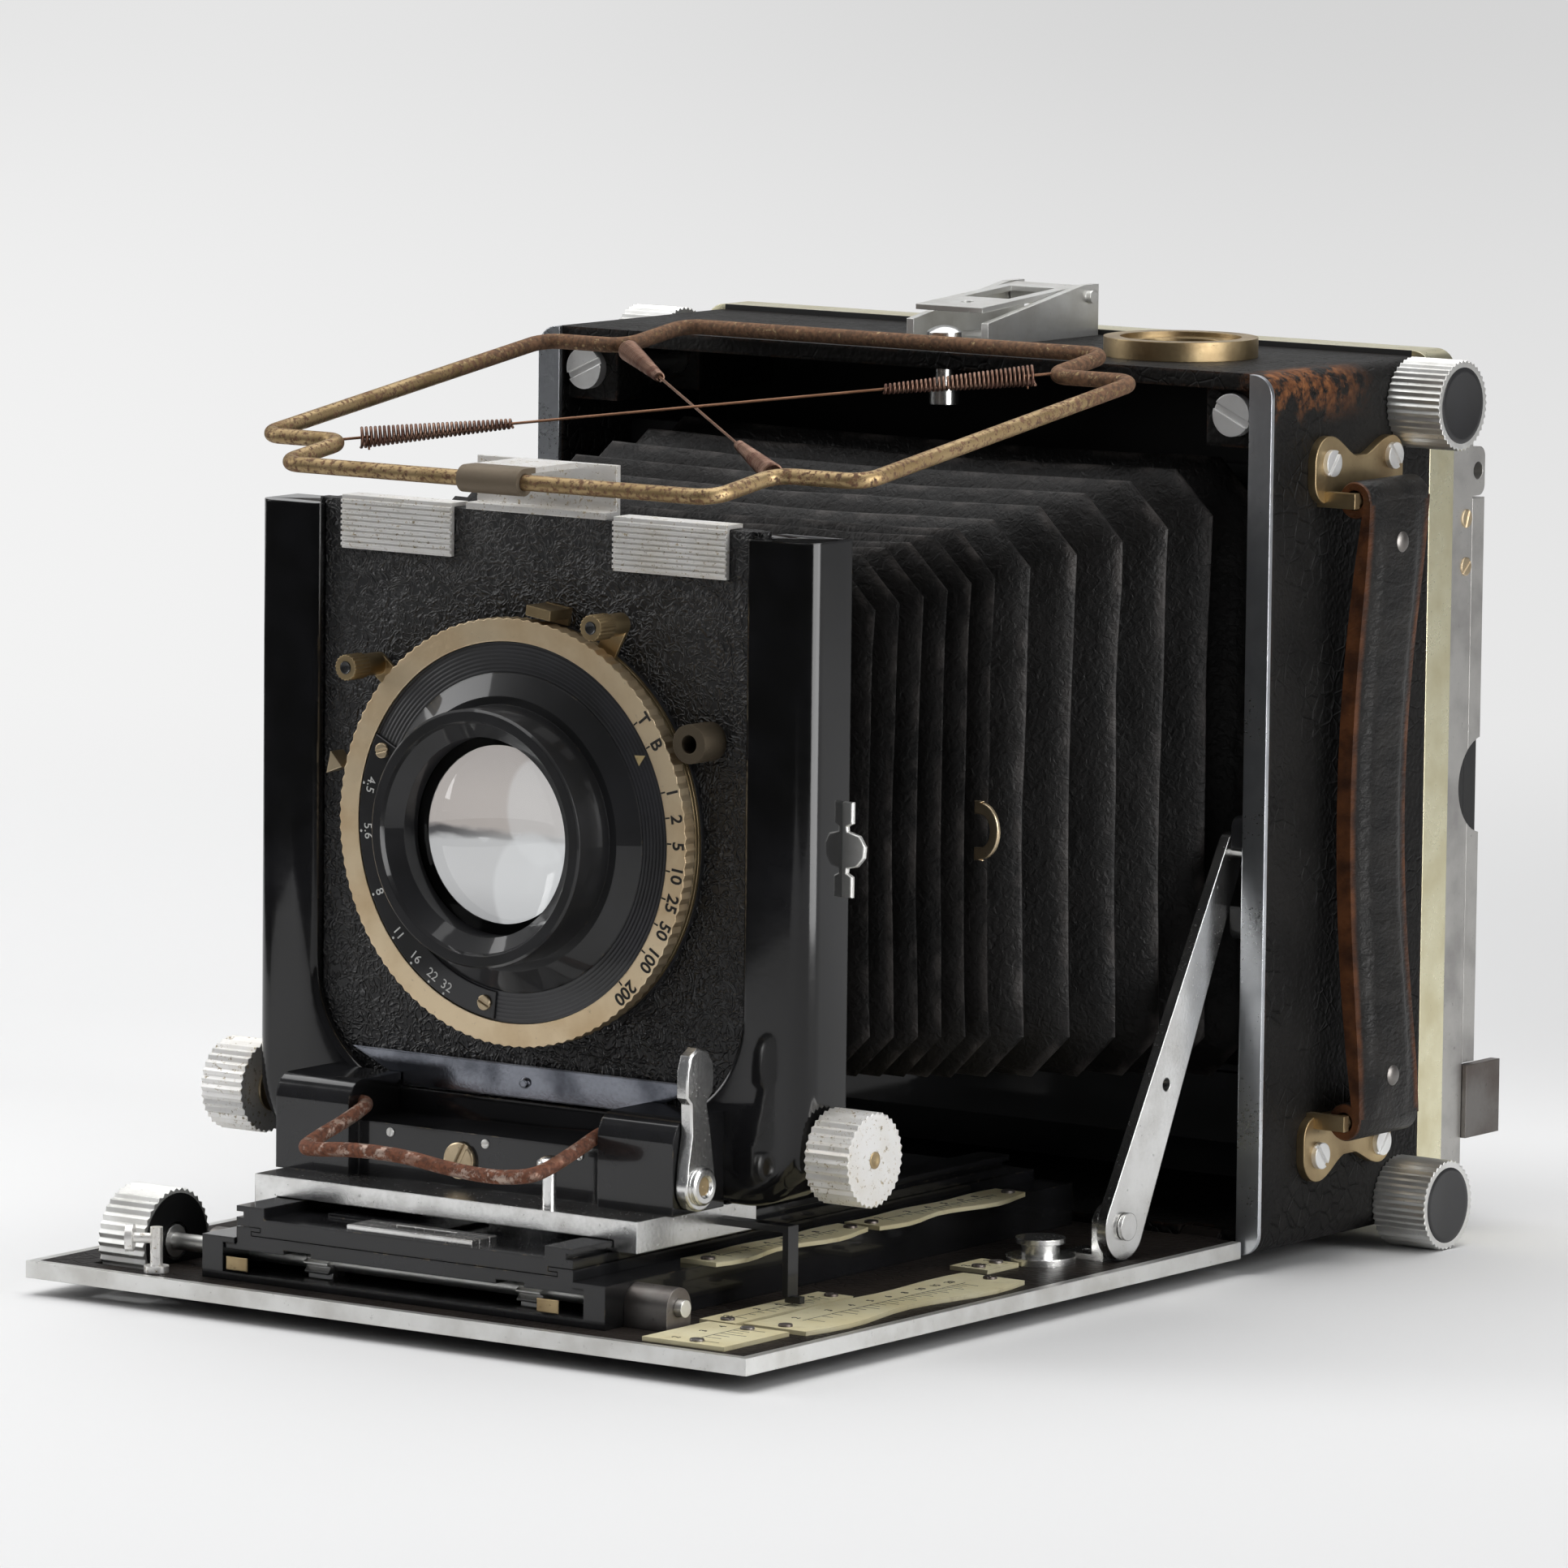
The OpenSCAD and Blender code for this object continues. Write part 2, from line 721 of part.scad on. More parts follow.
// Domed press button that frees the bed catch
module release_button() {
  head = body_z1 + button_travel + 0.3;
  color("#dcdcd8") {
    rod_along_z(button_r / 2, cav_z1 - 6, head + eps, button_x, button_y);
    translate([button_x, button_y, head]) intersection() {
      cylinder(r = button_r, h = 3);
      translate([0, 0, 2.2 - 1.6 * button_r]) sphere(1.6 * button_r);
    }
    rod_along_z(button_r / 2 + 1, cav_z1 - 7, cav_z1 - 4, button_x, button_y);
  }
}

// Frame inside the body that the rear of the bellows is fixed to
module bellows_frame() {
  color("#141414") slab_y(bel_y1, bel_y1 + bel_frame_t) difference() {
    area(-cav_x, cav_x, clamp_low + boss_w, clamp_high - boss_w);
    area(-sleeve_x - clear, sleeve_x + clear, body_zc - sleeve_h - clear, body_zc + sleeve_h + clear);
  }
}

module hinge_pins() {
  color("#bdbdb8") both() rod_along_x(hinge_r, tongue_x - 3.5, tongue_x + tongue_w + 3.5, hinge_y, hinge_z);
}

// Slotted plates on the inner walls that the strut pins run down
module strut_guides() {
  color("#26262a") both() slab_x(strut_x1 + clear, cav_x) difference() {
    round_area(body_y0, top_pin_y + 5, top_pin_z - guide_drop - 6, top_pin_z + 6, 2);
    translate([top_pin_y, 0]) {
      area(-guide_r, guide_r, top_pin_z - guide_drop, top_pin_z);
      for (z = [top_pin_z - guide_drop, top_pin_z]) translate([0, z]) circle(guide_r);
    }
  }
}

// Pleated leather tube, one ring of corners at each ridge and each valley
function fold_rings() = concat(
  [for (i = [0 : 2 * tight_folds - 1]) [bel_y0 + tight_len * i / (2 * tight_folds), i % 2]],
  [for (i = [0 : 2 * open_folds])
    [bel_y0 + tight_len + (bel_y1 - bel_y0 - tight_len) * i / (2 * open_folds), i % 2]]);

function fold_corners(y, ridge, inset) =
  let (f = (y - bel_y0) / (bel_y1 - bel_y0),
    w = bellows_w1 + (bellows_w2 - bellows_w1) * f - (1 - ridge) * fold_d - inset,
    h = bellows_h1 + (bellows_h2 - bellows_h1) * f - (1 - ridge) * fold_d * 0.8 - inset,
    c = 3 + 5 * ridge)
  [[w, y, bel_zc + h - c], [w - c, y, bel_zc + h], [c - w, y, bel_zc + h], [-w, y, bel_zc + h - c],
   [-w, y, bel_zc + c - h], [c - w, y, bel_zc - h], [w - c, y, bel_zc - h], [w, y, bel_zc + c - h]];

module bellows() {
  rings = fold_rings();
  n = len(rings);
  outer = [for (r = rings) each fold_corners(r[0], r[1], 0)];
  inner = [for (r = rings) each fold_corners(r[0], r[1], bellows_t)];
  m = 8 * n;
  color("#121212") polyhedron(points = concat(outer, inner), faces = concat(
    [for (i = [0 : n - 2], k = [0 : 7]) let (a = 8 * i + k, b = 8 * i + (k + 1) % 8)
      each [[a, b, b + 8], [a, b + 8, a + 8], [m + a, m + b + 8, m + b], [m + a, m + a + 8, m + b + 8]]],
    [for (k = [0 : 7]) let (a = k, b = (k + 1) % 8, c = m - 8 + k, d = m - 8 + (k + 1) % 8)
      each [[a, m + a, m + b], [a, m + b, b], [c, m + d, m + c], [c, d, m + d]]]));
}

// Extension back

module back_frame() {
  color("#cfc79a") difference() {
    slab_y(back_y0, back_y1) difference() {
      round_area(-body_x, body_x, body_z0, body_z1 + 1, body_r);
      area(-gate_w / 2, gate_w / 2, body_zc - gate_h / 2, body_zc + gate_h / 2);
    }
    both() for (z = [clamp_low, clamp_high])
      rod_along_y(rod_r + run, back_y0 - 1, back_y0 + rod_seat, rod_x, z);
  }
}

module back_rods() {
  color("#c8c8c4") both() for (z = [clamp_low, clamp_high])
    rod_along_y(rod_r, rod_y0, back_y0 + rod_seat, rod_x, z);
}

// Thin box that keeps light out while the back is drawn out
module light_sleeve() {
  color("#161616") slab_y(bel_y1 + 0.3, back_y0) difference() {
    area(-sleeve_x, sleeve_x, body_zc - sleeve_h, body_zc + sleeve_h);
    area(1.2 - sleeve_x, sleeve_x - 1.2, body_zc - sleeve_h + 1.2, body_zc + sleeve_h - 1.2);
  }
}

// Grey plate with the seat of the focusing screen, an eye lug and the hinge of the lid
module back_plate() {
  color("#9a9b9a") {
    difference() {
      union() {
        slab_y(back_y1, plate_y1) difference() {
          round_area(-back_x, back_x, back_z0, back_z1, 2);
          area(-gate_w / 2, gate_w / 2, body_zc - gate_h / 2, body_zc + gate_h / 2);
        }
        slab_x(back_x - lug_w, back_x) round_area(plate_y1 - 3, lid_y1, eye_z, eye_z + eye_h, 2);
        for (z = [back_z0 + 12, back_z1 - 20]) {
          rod_along_z(ear_r, z, z + 8, lid_hinge_x, lid_hinge_y);
          box(lid_hinge_x - 1, lid_hinge_x + 1, plate_y1 - 1, lid_hinge_y, z, z + 8);
        }
      }
      screen_seat();
      thumb_dip();
      rod_along_x(eye_r, back_x - lug_w - 1, back_x + 1, eye_hole_y, eye_hole_z);
    }
    rod_along_z(lid_pin_r, back_z0 + 12, back_z1 - 12, lid_hinge_x, lid_hinge_y);
  }
}

// Shallow dip for the thumb, in the right edge of the plate and of the lid
module thumb_dip() rod_along_x(9, back_x - 0.8, back_x + 1, lid_y1 + 1.85, body_zc - 1.2);

// Recess of the focusing screen, from the rear of the back plate
module screen_seat() {
  x = gate_w / 2 + 3;
  z = gate_h / 2 + 3;
  box(-x, x, plate_y1 - screen_t, plate_y1 + 1, body_zc - z, body_zc + z);
}

module focusing_screen() {
  x = gate_w / 2 + 3 - slip;
  z = gate_h / 2 + 3 - slip;
  color("#d8dcd6") box(-x, x, plate_y1 - screen_t, plate_y1 - slip, body_zc - z, body_zc + z);
}

// Lid over the focusing screen; two corners of its free edge clear the lug and the latch
module screen_lid() {
  corner_x = back_x - lug_w - clear;
  y0 = plate_y1 + slip;
  hollow_x = gate_w / 2 + 4;
  hollow_z = gate_h / 2 + 4;
  color("#a3a4a2") difference() {
    union() {
      slab_y(y0, lid_y1) round_area(lid_hinge_x + ear_r + clear, back_x, back_z0 + 3, back_z1 - 3, 2);
      rod_along_z(ear_r, back_z0 + 24, back_z1 - 24, lid_hinge_x, lid_hinge_y);
      box(lid_hinge_x, lid_hinge_x + ear_r + 1, lid_hinge_y - 0.8, lid_hinge_y + 0.8,
        back_z0 + 24, back_z1 - 24);
    }
    slab_y(y0 - 1, lid_y1 - back_wall)
      area(-hollow_x, hollow_x, body_zc - hollow_z, body_zc + hollow_z);
    rod_along_z(lid_pin_r + run, back_z0, back_z1, lid_hinge_x, lid_hinge_y);
    box(corner_x, back_x + 1, y0 - 1, lid_y1 + 1, back_z0, latch_top + clear);
    box(corner_x, back_x + 1, y0 - 1, lid_y1 + 1, eye_z - clear, back_z1);
    thumb_dip();
  }
}

// Sliding catch at the lower right edge of the back
module back_latch() {
  x = back_x - lug_w + slip;
  color("#4c4b47") difference() {
    union() {
      box(x, back_x, plate_y1 + slip, plate_y1 + latch_len, latch_z, latch_z + latch_h);
      box(back_x - 1, back_x + 1, plate_y1 + slip, plate_y1 + latch_len, latch_z - 1, latch_top);
    }
    box(x - 1, back_x - 1, plate_y1 + 5, plate_y1 + latch_len - 2, latch_z + 2, latch_z + latch_h - 2);
  }
}

// Clamp knob with its screw, on the right at one height
module clamp_knob(z) {
  x0 = body_x + slip;
  x1 = x0 + clamp_len;
  color("#cfcfcb") difference() {
    union() {
      translate([x0, clamp_y, z]) rotate([90, 0, 90]) linear_extrude(clamp_len) fluted(clamp_r, 40, 0.45);
      rod_along_x(clamp_screw_r, rod_x + rod_r + clear, x0 + 1, clamp_y, z);
    }
    rod_along_x(clamp_r - 1.6, x1 - 0.5, x1 + 1, clamp_y, z);
  }
}

module clamp_knob_upper_right() clamp_knob(clamp_high);
module clamp_knob_lower_right() clamp_knob(clamp_low);
module clamp_knob_upper_left() mirror([1, 0, 0]) clamp_knob(clamp_high);
module clamp_knob_lower_left() mirror([1, 0, 0]) clamp_knob(clamp_low);

// Bed

module bed_plate() {
  slot_y = focus_r + 0.6;
  color("#1d1c1b") difference() {
    union() {
      box(-bed_x, bed_x, bed_y0 + bed_trim_w, bed_y1, bed_z0, bed_top);
      both() {
        box(tongue_x, tongue_x + tongue_w, bed_y1 - eps, hinge_y, bed_z0 + 0.4, bed_top);
        rod_along_x(knuckle_r, tongue_x, tongue_x + tongue_w, hinge_y, hinge_z);
      }
    }
    both() rod_along_x(hinge_r + run, tongue_x - 1, tongue_x + tongue_w + 1, hinge_y, hinge_z);
    box(focus_x0 - 0.6, focus_x1 + 0.6, shaft_y - slot_y, shaft_y + slot_y, bed_z0 - 1, bed_top + 1);
    rod_along_z(bush_boss_r + run, bed_z0 - 1, bed_top + 1, 0, 0);
  }
}

// Bright strip round the three free edges of the bed
module bed_trim() {
  color("#dadad6") difference() {
    box(-bed_w / 2, bed_w / 2, bed_y0, bed_y1, bed_z0, bed_top);
    box(-bed_x, bed_x, bed_y0 + bed_trim_w, bed_y1 + 1, bed_z0 - 1, bed_top + 1);
  }
}

// Flanged bush with the tripod hole
module tripod_bush() {
  color("#b9b9b4") difference() {
    union() {
      cylinder(r = bush_r, h = bush_t);
      cylinder(r = bush_boss_r, h = bed_top);
    }
    translate([0, 0, -1]) cylinder(r = bush_hole_r, h = bed_top + 2);
  }
}

// Channel on the bed that the focus track runs in
module base_rail() {
  color("#1b1b1c") difference() {
    slab_y(rail_y0, rail_y1) difference() {
      area(-rail_x, rail_x, bed_top, rail_z1);
      area(-rail_in_x, rail_in_x, bed_top + rail_floor, lip_z0);
      area(-mouth_x, mouth_x, bed_top + rail_floor, rail_z1 + 1);
    }
    rod_along_x(shaft_r + run, -rail_x - 1, rail_x + 1, shaft_y, shaft_z);
    both() box(rack_x - 0.6, rack_x + rack_w + 0.6, shaft_y - tip_r - 0.6, shaft_y + tip_r + 0.6,
      bed_top - 1, bed_top + rail_floor + 1);
  }
}

// Ivory distance scales: four on the bed and two along the rail
module scale_plates() {
  z = bed_top;
  color("#ded5ac") {
    box(bearing_x + 1.5, bed_x - 5, bed_y0 + 3, bed_y0 + 22, z, z + scale_t);
    box(scale_x0, scale_x1 - 1, bed_y0 + 23, bed_y0 + 58, z, z + scale_t);
    slab_z(z, z + scale_t) polygon(concat(
      [for (i = [0 : 12]) [scale_x1 + 0.5 * sin(60 * i), bed_y0 + 24 + 66 * i / 12]],
      [for (i = [12 : -1 : 0]) [bed_x - 3 + 1.4 * sin(45 * i), bed_y0 + 24 + 66 * i / 12]]));
    box(stop_x - 8, stop_x, front - 58, front - 48.2, z, z + scale_t);
    for (part = [0, 1]) slab_z(rail_z1, rail_z1 + scale_t) polygon(concat(
      [for (i = [0 : 12]) [rail_x - rail_wall + 0.4 * sin(60 * i), rail_sc_y + part * 49 + 47 * i / 12]],
      [for (i = [12 : -1 : 0]) [rail_x + 3 + 1.2 * sin(50 * i), rail_sc_y + part * 49 + 47 * i / 12]]));
  }
}

// Upright ears on the bed that hold the lower ends of the struts
module strut_brackets() {
  ear = strut_pin_r + 2.2;
  x1 = strut_x0 - slip;
  color("#c4c4c0") both() {
    difference() {
      union() {
        slab_x(x1 - 2.4, x1) {
          area(strut_y - ear, strut_y + ear, bed_top, strut_z);
          translate([strut_y, strut_z]) circle(ear);
        }
        box(x1 - 9, x1, strut_y - ear, strut_y + ear, bed_top, bed_top + 1.2);
      }
      rod_along_z(1.2, bed_top - 1, bed_top + 3, x1 - 5.6, strut_y);
    }
    rod_along_x(strut_pin_r, x1 - eps, strut_x1 + slip + 0.8, strut_y, strut_z);
    rod_along_x(strut_pin_r + 1, strut_x1 + slip, strut_x1 + slip + 0.8, strut_y, strut_z);
  }
}

// Flanged stop on the bed that the closed standard meets
module stop_button() {
  color("#cacac6") translate([stop_x, front - 41.5, bed_top]) {
    cylinder(r = 6.2, h = 1.4);
    cylinder(r = 3.45, h = 4.6);
    translate([0, 0, 3.6]) cylinder(r = 4.4, h = 1);
  }
}

// Bright blocks outside the rail that carry the ends of the focus shaft
module pinion_bearings() {
  color("#c8c8c5") for (side = [-1, 1]) difference() {
    slab_x(side > 0 ? rail_x : -rail_x - 4, side > 0 ? bearing_x : -rail_x) {
      area(shaft_y - bearing_r, shaft_y + bearing_r, bed_top, shaft_z);
      translate([shaft_y, shaft_z]) circle(bearing_r);
    }
    rod_along_x(shaft_r + run, -rail_x - 6, bearing_x + 1, shaft_y, shaft_z);
  }
}

// Tapered flat struts with a pin at the top that runs in the guide
module struts() {
  color("#cdcdc9") both() difference() {
    union() {
      slab_x(strut_x0, strut_x1) translate([strut_y, strut_z]) rotate(strut_a) strut_outline();
      rod_along_x(strut_pin_r, strut_x1 - eps, cav_x - clear, top_pin_y, top_pin_z);
    }
    rod_along_x(strut_pin_r + run, strut_x0 - 1, strut_x1 + 1, strut_y, strut_z);
    slab_x(strut_x0 - 1, strut_x1 + 1) translate([strut_y, strut_z]) rotate(strut_a)
      translate([strut_hole_at, 0]) circle(strut_pin_r - 0.3);
  }
}

// Two round ends joined by a taper that lies a hair inside their common tangents
module strut_outline() {
  a = acos((strut_r1 - strut_r2) / strut_len);
  side = [cos(a), sin(a)];
  under = [cos(a), -sin(a)];
  tip = [strut_len, 0];
  circle(strut_r1);
  translate(tip) circle(strut_r2);
  polygon([(strut_r1 - eps) * side, (strut_r1 - eps) * under,
    tip + (strut_r2 - eps) * under, tip + (strut_r2 - eps) * side]);
}

// Focus drive

// Knob, shaft and two pinions in one piece
module focus_pinion() {
  color("#cbcbc7") difference() {
    union() {
      slab_x(focus_x0, focus_x1) translate([shaft_y, shaft_z]) fluted(focus_r, 36, 0.5);
      rod_along_x(shaft_r, focus_x1 - 1, bearing_x + 1.5, shaft_y, shaft_z);
      both() slab_x(rack_x + clear, rack_x + rack_w - clear) translate([shaft_y, shaft_z]) pinion();
    }
    difference() {
      rod_along_x(focus_r - 1.8, focus_x1 - 4, focus_x1 + 1, shaft_y, shaft_z);
      rod_along_x(shaft_r + 1.4, focus_x1 - 5, focus_x1 + 2, shaft_y, shaft_z);
    }
  }
}

// Mushroom lever beside the knob that locks the focus
module focus_lock() {
  color("#8f8f8c") {
    rod_along_z(1.1, bed_top, bed_top + 8, lock_x, lock_y);
    rod_along_z(2.2, bed_top, bed_top + 1.2, lock_x, lock_y);
    translate([lock_x, lock_y, bed_top + 6]) rotate([90, 0, -60]) {
      cylinder(r = 0.9, h = 4);
      translate([0, 0, 4 - eps]) cylinder(r = 2.4, h = 1.4);
    }
  }
}

// Tracks

// Plate that the pinion drives along the base rail, with two racks under it
module focus_track() {
  color("#1e1e1f") difference() {
    slab_y(track_y0, track_y1) difference() {
      union() {
        area(slip - rail_in_x, rail_in_x - slip, track_z0, track_z0 + tongue_t);
        area(-track_x, track_x, track_z0, track_z1);
      }
      area(-slot_x, slot_x, slot_z0, slot_z1);
      area(-slot_mouth, slot_mouth, slot_z0, track_z1 + 1);
    }
    both() {
      box(rack_x, rack_x + rack_w, track_y0 - 1, shaft_y + focus_travel + 6,
        track_z0 - 1, rack_z - 0.8 * tooth_m);
      slab_x(rack_x, rack_x + rack_w) translate([shaft_y, rack_z])
        rack_gaps(-3, ceil(focus_travel / pitch) + 2);
    }
  }
}

// Upper plate with two side runners, drawn out by hand for long extension
module upper_track() {
  color("#202021") {
    slab_y(track_y0, upper_y1) {
      area(slip - slot_x, slot_x - slip, slot_z0 + slip, slot_z1 - slip);
      area(slip - slot_mouth, slot_mouth - slip, slot_z0 + slip, upper_z0 + eps);
      area(-upper_x, upper_x, upper_z0, upper_z1);
      both() {
        area(upper_x - runner_w, upper_x - runner_cut, upper_z1 - eps, runner_z1);
        area(upper_x - runner_w, upper_x, runner_mid, runner_z1);
      }
    }
    box(-24, 2, track_y0 + 10, track_y0 + 22, upper_z1, upper_z1 + 0.6);
  }
}

// Carriage and standard

// Bright bar that grips the two runners, with a stop post
module carriage_bar() {
  color("#cfcfcb") {
    slab_y(car_y0, std_y1) {
      area(-car_x, car_x, car_z0, car_z1);
      both() {
        area(upper_x + slip, car_x, upper_z1 + slip, car_z1);
        area(upper_x - runner_cut + slip, car_x, upper_z1 + slip, runner_mid - slip);
      }
    }
    rod_along_z(1.2, car_z1 - eps, car_z1 + 7, 20, car_y0 + 3.6);
    translate([20, car_y0 + 3.6, car_z1 + 7]) intersection() {
      cylinder(r = 2.2, h = 2);
      translate([0, 0, -0.8]) sphere(2.8);
    }
  }
}

// Enamelled block in front of the columns with a bail housing at each end
module carriage_block() {
  color("#141416") difference() {
    union() {
      box(-block_x, block_x, block_y0 + 3, std_y0, car_z1, block_mid_z);
      both() slab_x(block_x - housing_w, block_x) {
        area(block_y0, std_y0, car_z1, block_z1 - 4);
        area(block_y0 + 4, std_y0, car_z1, block_z1);
        translate([block_y0 + 4, block_z1 - 4]) circle(4);
      }
    }
    both() rod_along_x(bail_r + run, bail_x - 1, bail_x + bail_pin, bail_y, bail_z);
    rod_along_x(lever_pin_r, block_x - 4, block_x + 1, lever_y, lever_z);
  }
}

// Outline of the space between the columns with round lower corners
module between_columns() {
  area(-open_x, open_x, sill_z + foot_r, std_top + 1);
  area(foot_r - open_x, open_x - foot_r, sill_z, std_top + 1);
  for (x = [foot_r - open_x, open_x - foot_r]) translate([x, sill_z + foot_r]) circle(foot_r);
}

// U-shaped standard: two columns on a cross bar
module standard_frame() {
  color("#101013") difference() {
    slab_y(std_y0, std_y1) difference() {
      union() {
        area(-std_x, std_x, car_z1 + foot_out_r, std_top);
        area(foot_out_r - std_x, std_x - foot_out_r, car_z1, std_top);
        for (x = [foot_out_r - std_x, std_x - foot_out_r])
          translate([x, car_z1 + foot_out_r]) circle(foot_out_r);
      }
      between_columns();
    }
    slab_y(std_y0 + flange_t, std_y1 + 1) area(-open_x, open_x, sill_z, std_top + 1);
    slab_y(board_y0 + 1 - slip, board_y1 - 1 + slip)
      area(-open_x - groove_d, open_x + groove_d, sill_z, std_top + 1);
    rod_along_x(rise_shaft_r + run, -std_x - 1, std_x + 1, rise_y, rise_z);
    both() box(rack_leg_x - clear, rack_leg_x + rack_w + clear, std_y0 + flange_t, std_y1 + 1,
      car_z1 - 1, sill_z + 1);
  }
}

// Bent pointer that reads the bed scale
module scale_pointer() {
  color("#151515") {
    box(car_x, 56, car_y0 + 24, car_y0 + 27, car_z0, car_z0 + 1.2);
    box(54.8, 56, car_y0 + 24, car_y0 + 27, bed_top + scale_t + 1.5, car_z0 + 1.2);
    box(54.8, 58, car_y0 + 24.8, car_y0 + 26.2, bed_top + scale_t + clear, bed_top + scale_t + 1.6);
  }
}

// Wire handle that draws the standard along the tracks
module bail() {
  x = bail_x + bail_pin - 0.6;
  color("#6e3d28") translate([0, bail_y, bail_z]) rotate([bail_droop, 0, 0])
    bent_wire([[-x, 0], [-bail_x, 0], [-bail_x, -bail_len], [bail_x, -bail_len], [bail_x, 0], [x, 0]],
      bail_r, bail_bend, false);
}

// Lever at the right end of the block that clamps the carriage
module clamp_lever() {
  color("#d2d2ce") {
    slab_x(block_x + slip, block_x + slip + 2.2) {
      translate([lever_y, lever_z]) circle(4.4);
      polygon([[lever_y - 4.2, lever_z], [lever_y + 4.2, lever_z], [lever_y + 1, lever_z + 14],
        [lever_y + 3, lever_z + 23], [lever_y - 4, lever_z + 24], [lever_y - 4.6, lever_z + 18]]);
    }
    rod_along_x(2.4, block_x + slip, block_x + 4, lever_y, lever_z);
    rod_along_x(lever_pin_r - run, block_x - 3.4, block_x + slip + 1, lever_y, lever_z);
  }
}

// Rise knobs, shaft and pinions in one piece
module rise_pinion() {
  color("#cfcfcc") {
    both() {
      slab_x(rise_x0, rise_x0 + rise_len) translate([rise_y, rise_z]) fluted(rise_r, 34, 0.5);
      slab_x(rack_leg_x + clear, rack_leg_x + rack_w - clear)
        translate([rise_y, rise_z]) rotate(-90) pinion();
    }
    rod_along_x(rise_shaft_r, -rise_x0 - 1, rise_x0 + 1, rise_y, rise_z);
  }
}

// Lens panel

// Leatherette board, the box behind it and the two rise racks
module lens_board() {
  leg_y0 = rise_rack_y - 0.8 * tooth_m;
  leg_y1 = rise_rack_y + 2.4;
  leg_z0 = rise_z - rise_travel - 0.7;
  color("#171717") difference() {
    union() {
      box(-board_x, board_x, board_y0, board_y1, board_z0, board_z1);
      box(slip - open_x - groove_d, open_x + groove_d - slip, board_y0 + 1, board_y1 - 1,
        board_z0, board_z1);
      slab_y(board_y1 - eps, box_y1) difference() {
        area(-box_x, box_x, box_z0, box_z1);
        area(box_wall - box_x, box_x - box_wall, box_z0 + box_wall, box_z1 - box_wall);
      }
      both() {
        box(rack_leg_x, rack_leg_x + rack_w, leg_y0, leg_y1, leg_z0, box_z0 + 16);
        box(rack_leg_x, rack_leg_x + rack_w, board_y1 - eps, leg_y1, rise_z + tip_r + 3, box_z0 + 16);
      }
    }
    both() slab_x(rack_leg_x - 1, rack_leg_x + rack_w + 1) translate([rise_rack_y, rise_z])
      rotate(90) mirror([0, 1]) rack_gaps(-ceil(rise_travel / pitch) - 2, 3);
    on_lens() translate([0, 0, -board_y1 - 1]) cylinder(r = rear_r + run, h = board_t + 2);
  }
}

// Stepped bright rail along the foot of the board
module panel_rail() {
  y1 = board_y0;
  h = 6.2;
  x0 = open_x - foot_r - 0.6;
  x1 = open_x - 8;
  color("#c9ccd0") {
    slab_y(y1 - flange_t + slip, y1) polygon([[-x0, board_z0 + 0.3], [x0, board_z0 + 0.3],
      [x1, board_z0 + h], [-x1, board_z0 + h]]);
    rod_along_y(0.8, y1 - flange_t - 0.6, y1 - flange_t + slip + eps, 0, board_z0 + h / 2);
  }
}

// Ribbed spring clip that hooks over the top of the lens board
module board_clip() {
  x0 = clip_x0;
  ribs = 9;
  color("#d0d0cc") {
    box(x0, x0 + clip_w, board_y0 - 0.9 - slip, board_y0 - slip, board_z1 - 8.5, board_z1 + 0.9);
    for (i = [0 : ribs - 1]) let (z = board_z1 - 8 + i * 0.95)
      box(x0, x0 + clip_w, board_y0 - 1.3 - slip, board_y0 - 0.9 - slip + eps, z, z + 0.5);
    box(x0, x0 + clip_w, board_y0 - 0.9 - slip, board_y1 - 0.6, board_z1 + slip, board_z1 + 0.9);
  }
}

module board_clip_right() board_clip();
module board_clip_left() mirror([1, 0, 0]) board_clip();

// Bright plate on top of the board with a rolled clip that holds the wire frame
module finder_bracket() {
  hook_r = wire_r + 1;
  color("#c3c1b8") difference() {
    union() {
      box(-bracket_x, bracket_x, board_y0 - 0.1, board_y1, board_z1, board_z1 + 1.2);
      box(-bracket_x, bracket_x, board_y1 - 1.2, board_y1, board_z1, wire_z);
      slab_x(-hook_w / 2, hook_w / 2) {
        translate([wire_y, wire_z]) circle(hook_r);
        area(wire_y, board_y1, wire_z + wire_r, wire_z + hook_r);
      }
      box(-15, 15, board_y1 - 1.2, board_y1, wire_z - eps, wire_z + hook_r);
    }
    rod_along_x(wire_r + run, -hook_w, hook_w, wire_y, wire_z);
  }
}

// Shutter and lens, drawn forward along the lens axis

module ring(r0, r1, z0, z1) {
  translate([0, 0, z0]) difference() {
    cylinder(r = r1, h = z1 - z0);
    translate([0, 0, -1]) cylinder(r = r0, h = z1 - z0 + 2);
  }
}

// Depth of one of the thin rings between the case and the speed ring
function layer_z(i) = face + case_t + slip + i * (lever_t + slip);

module shutter_case() {
  color("#151517") on_lens() {
    ring(throat_r, flange_r, face, face + case_t);
    ring(throat_r, hub_r, face, hub_z1);
  }
}

// Brass cable release socket and index tab on the rim of the case
module shutter_fittings() {
  at = ring_r + 4.6;
  cable_turn = max(26, acos((open_x - cable_r - 1.5) / at));
  color("#7c6a45") on_lens() {
    rotate(cable_turn) translate([at, 0, 0]) {
      ring(cable_hole_r, cable_r, face, ring_z1);
      translate([flange_r - at + run, -1.4, face]) cube([at - flange_r - cable_hole_r - 0.6, 2.8, case_t]);
    }
    rotate(82) {
      translate([flange_r + run, -2.6, face]) cube([3.2, 5.2, case_t]);
      translate([ring_r + 0.7, -2.6, face]) cube([1.8, 5.2, ring_z1 - face]);
    }
  }
}

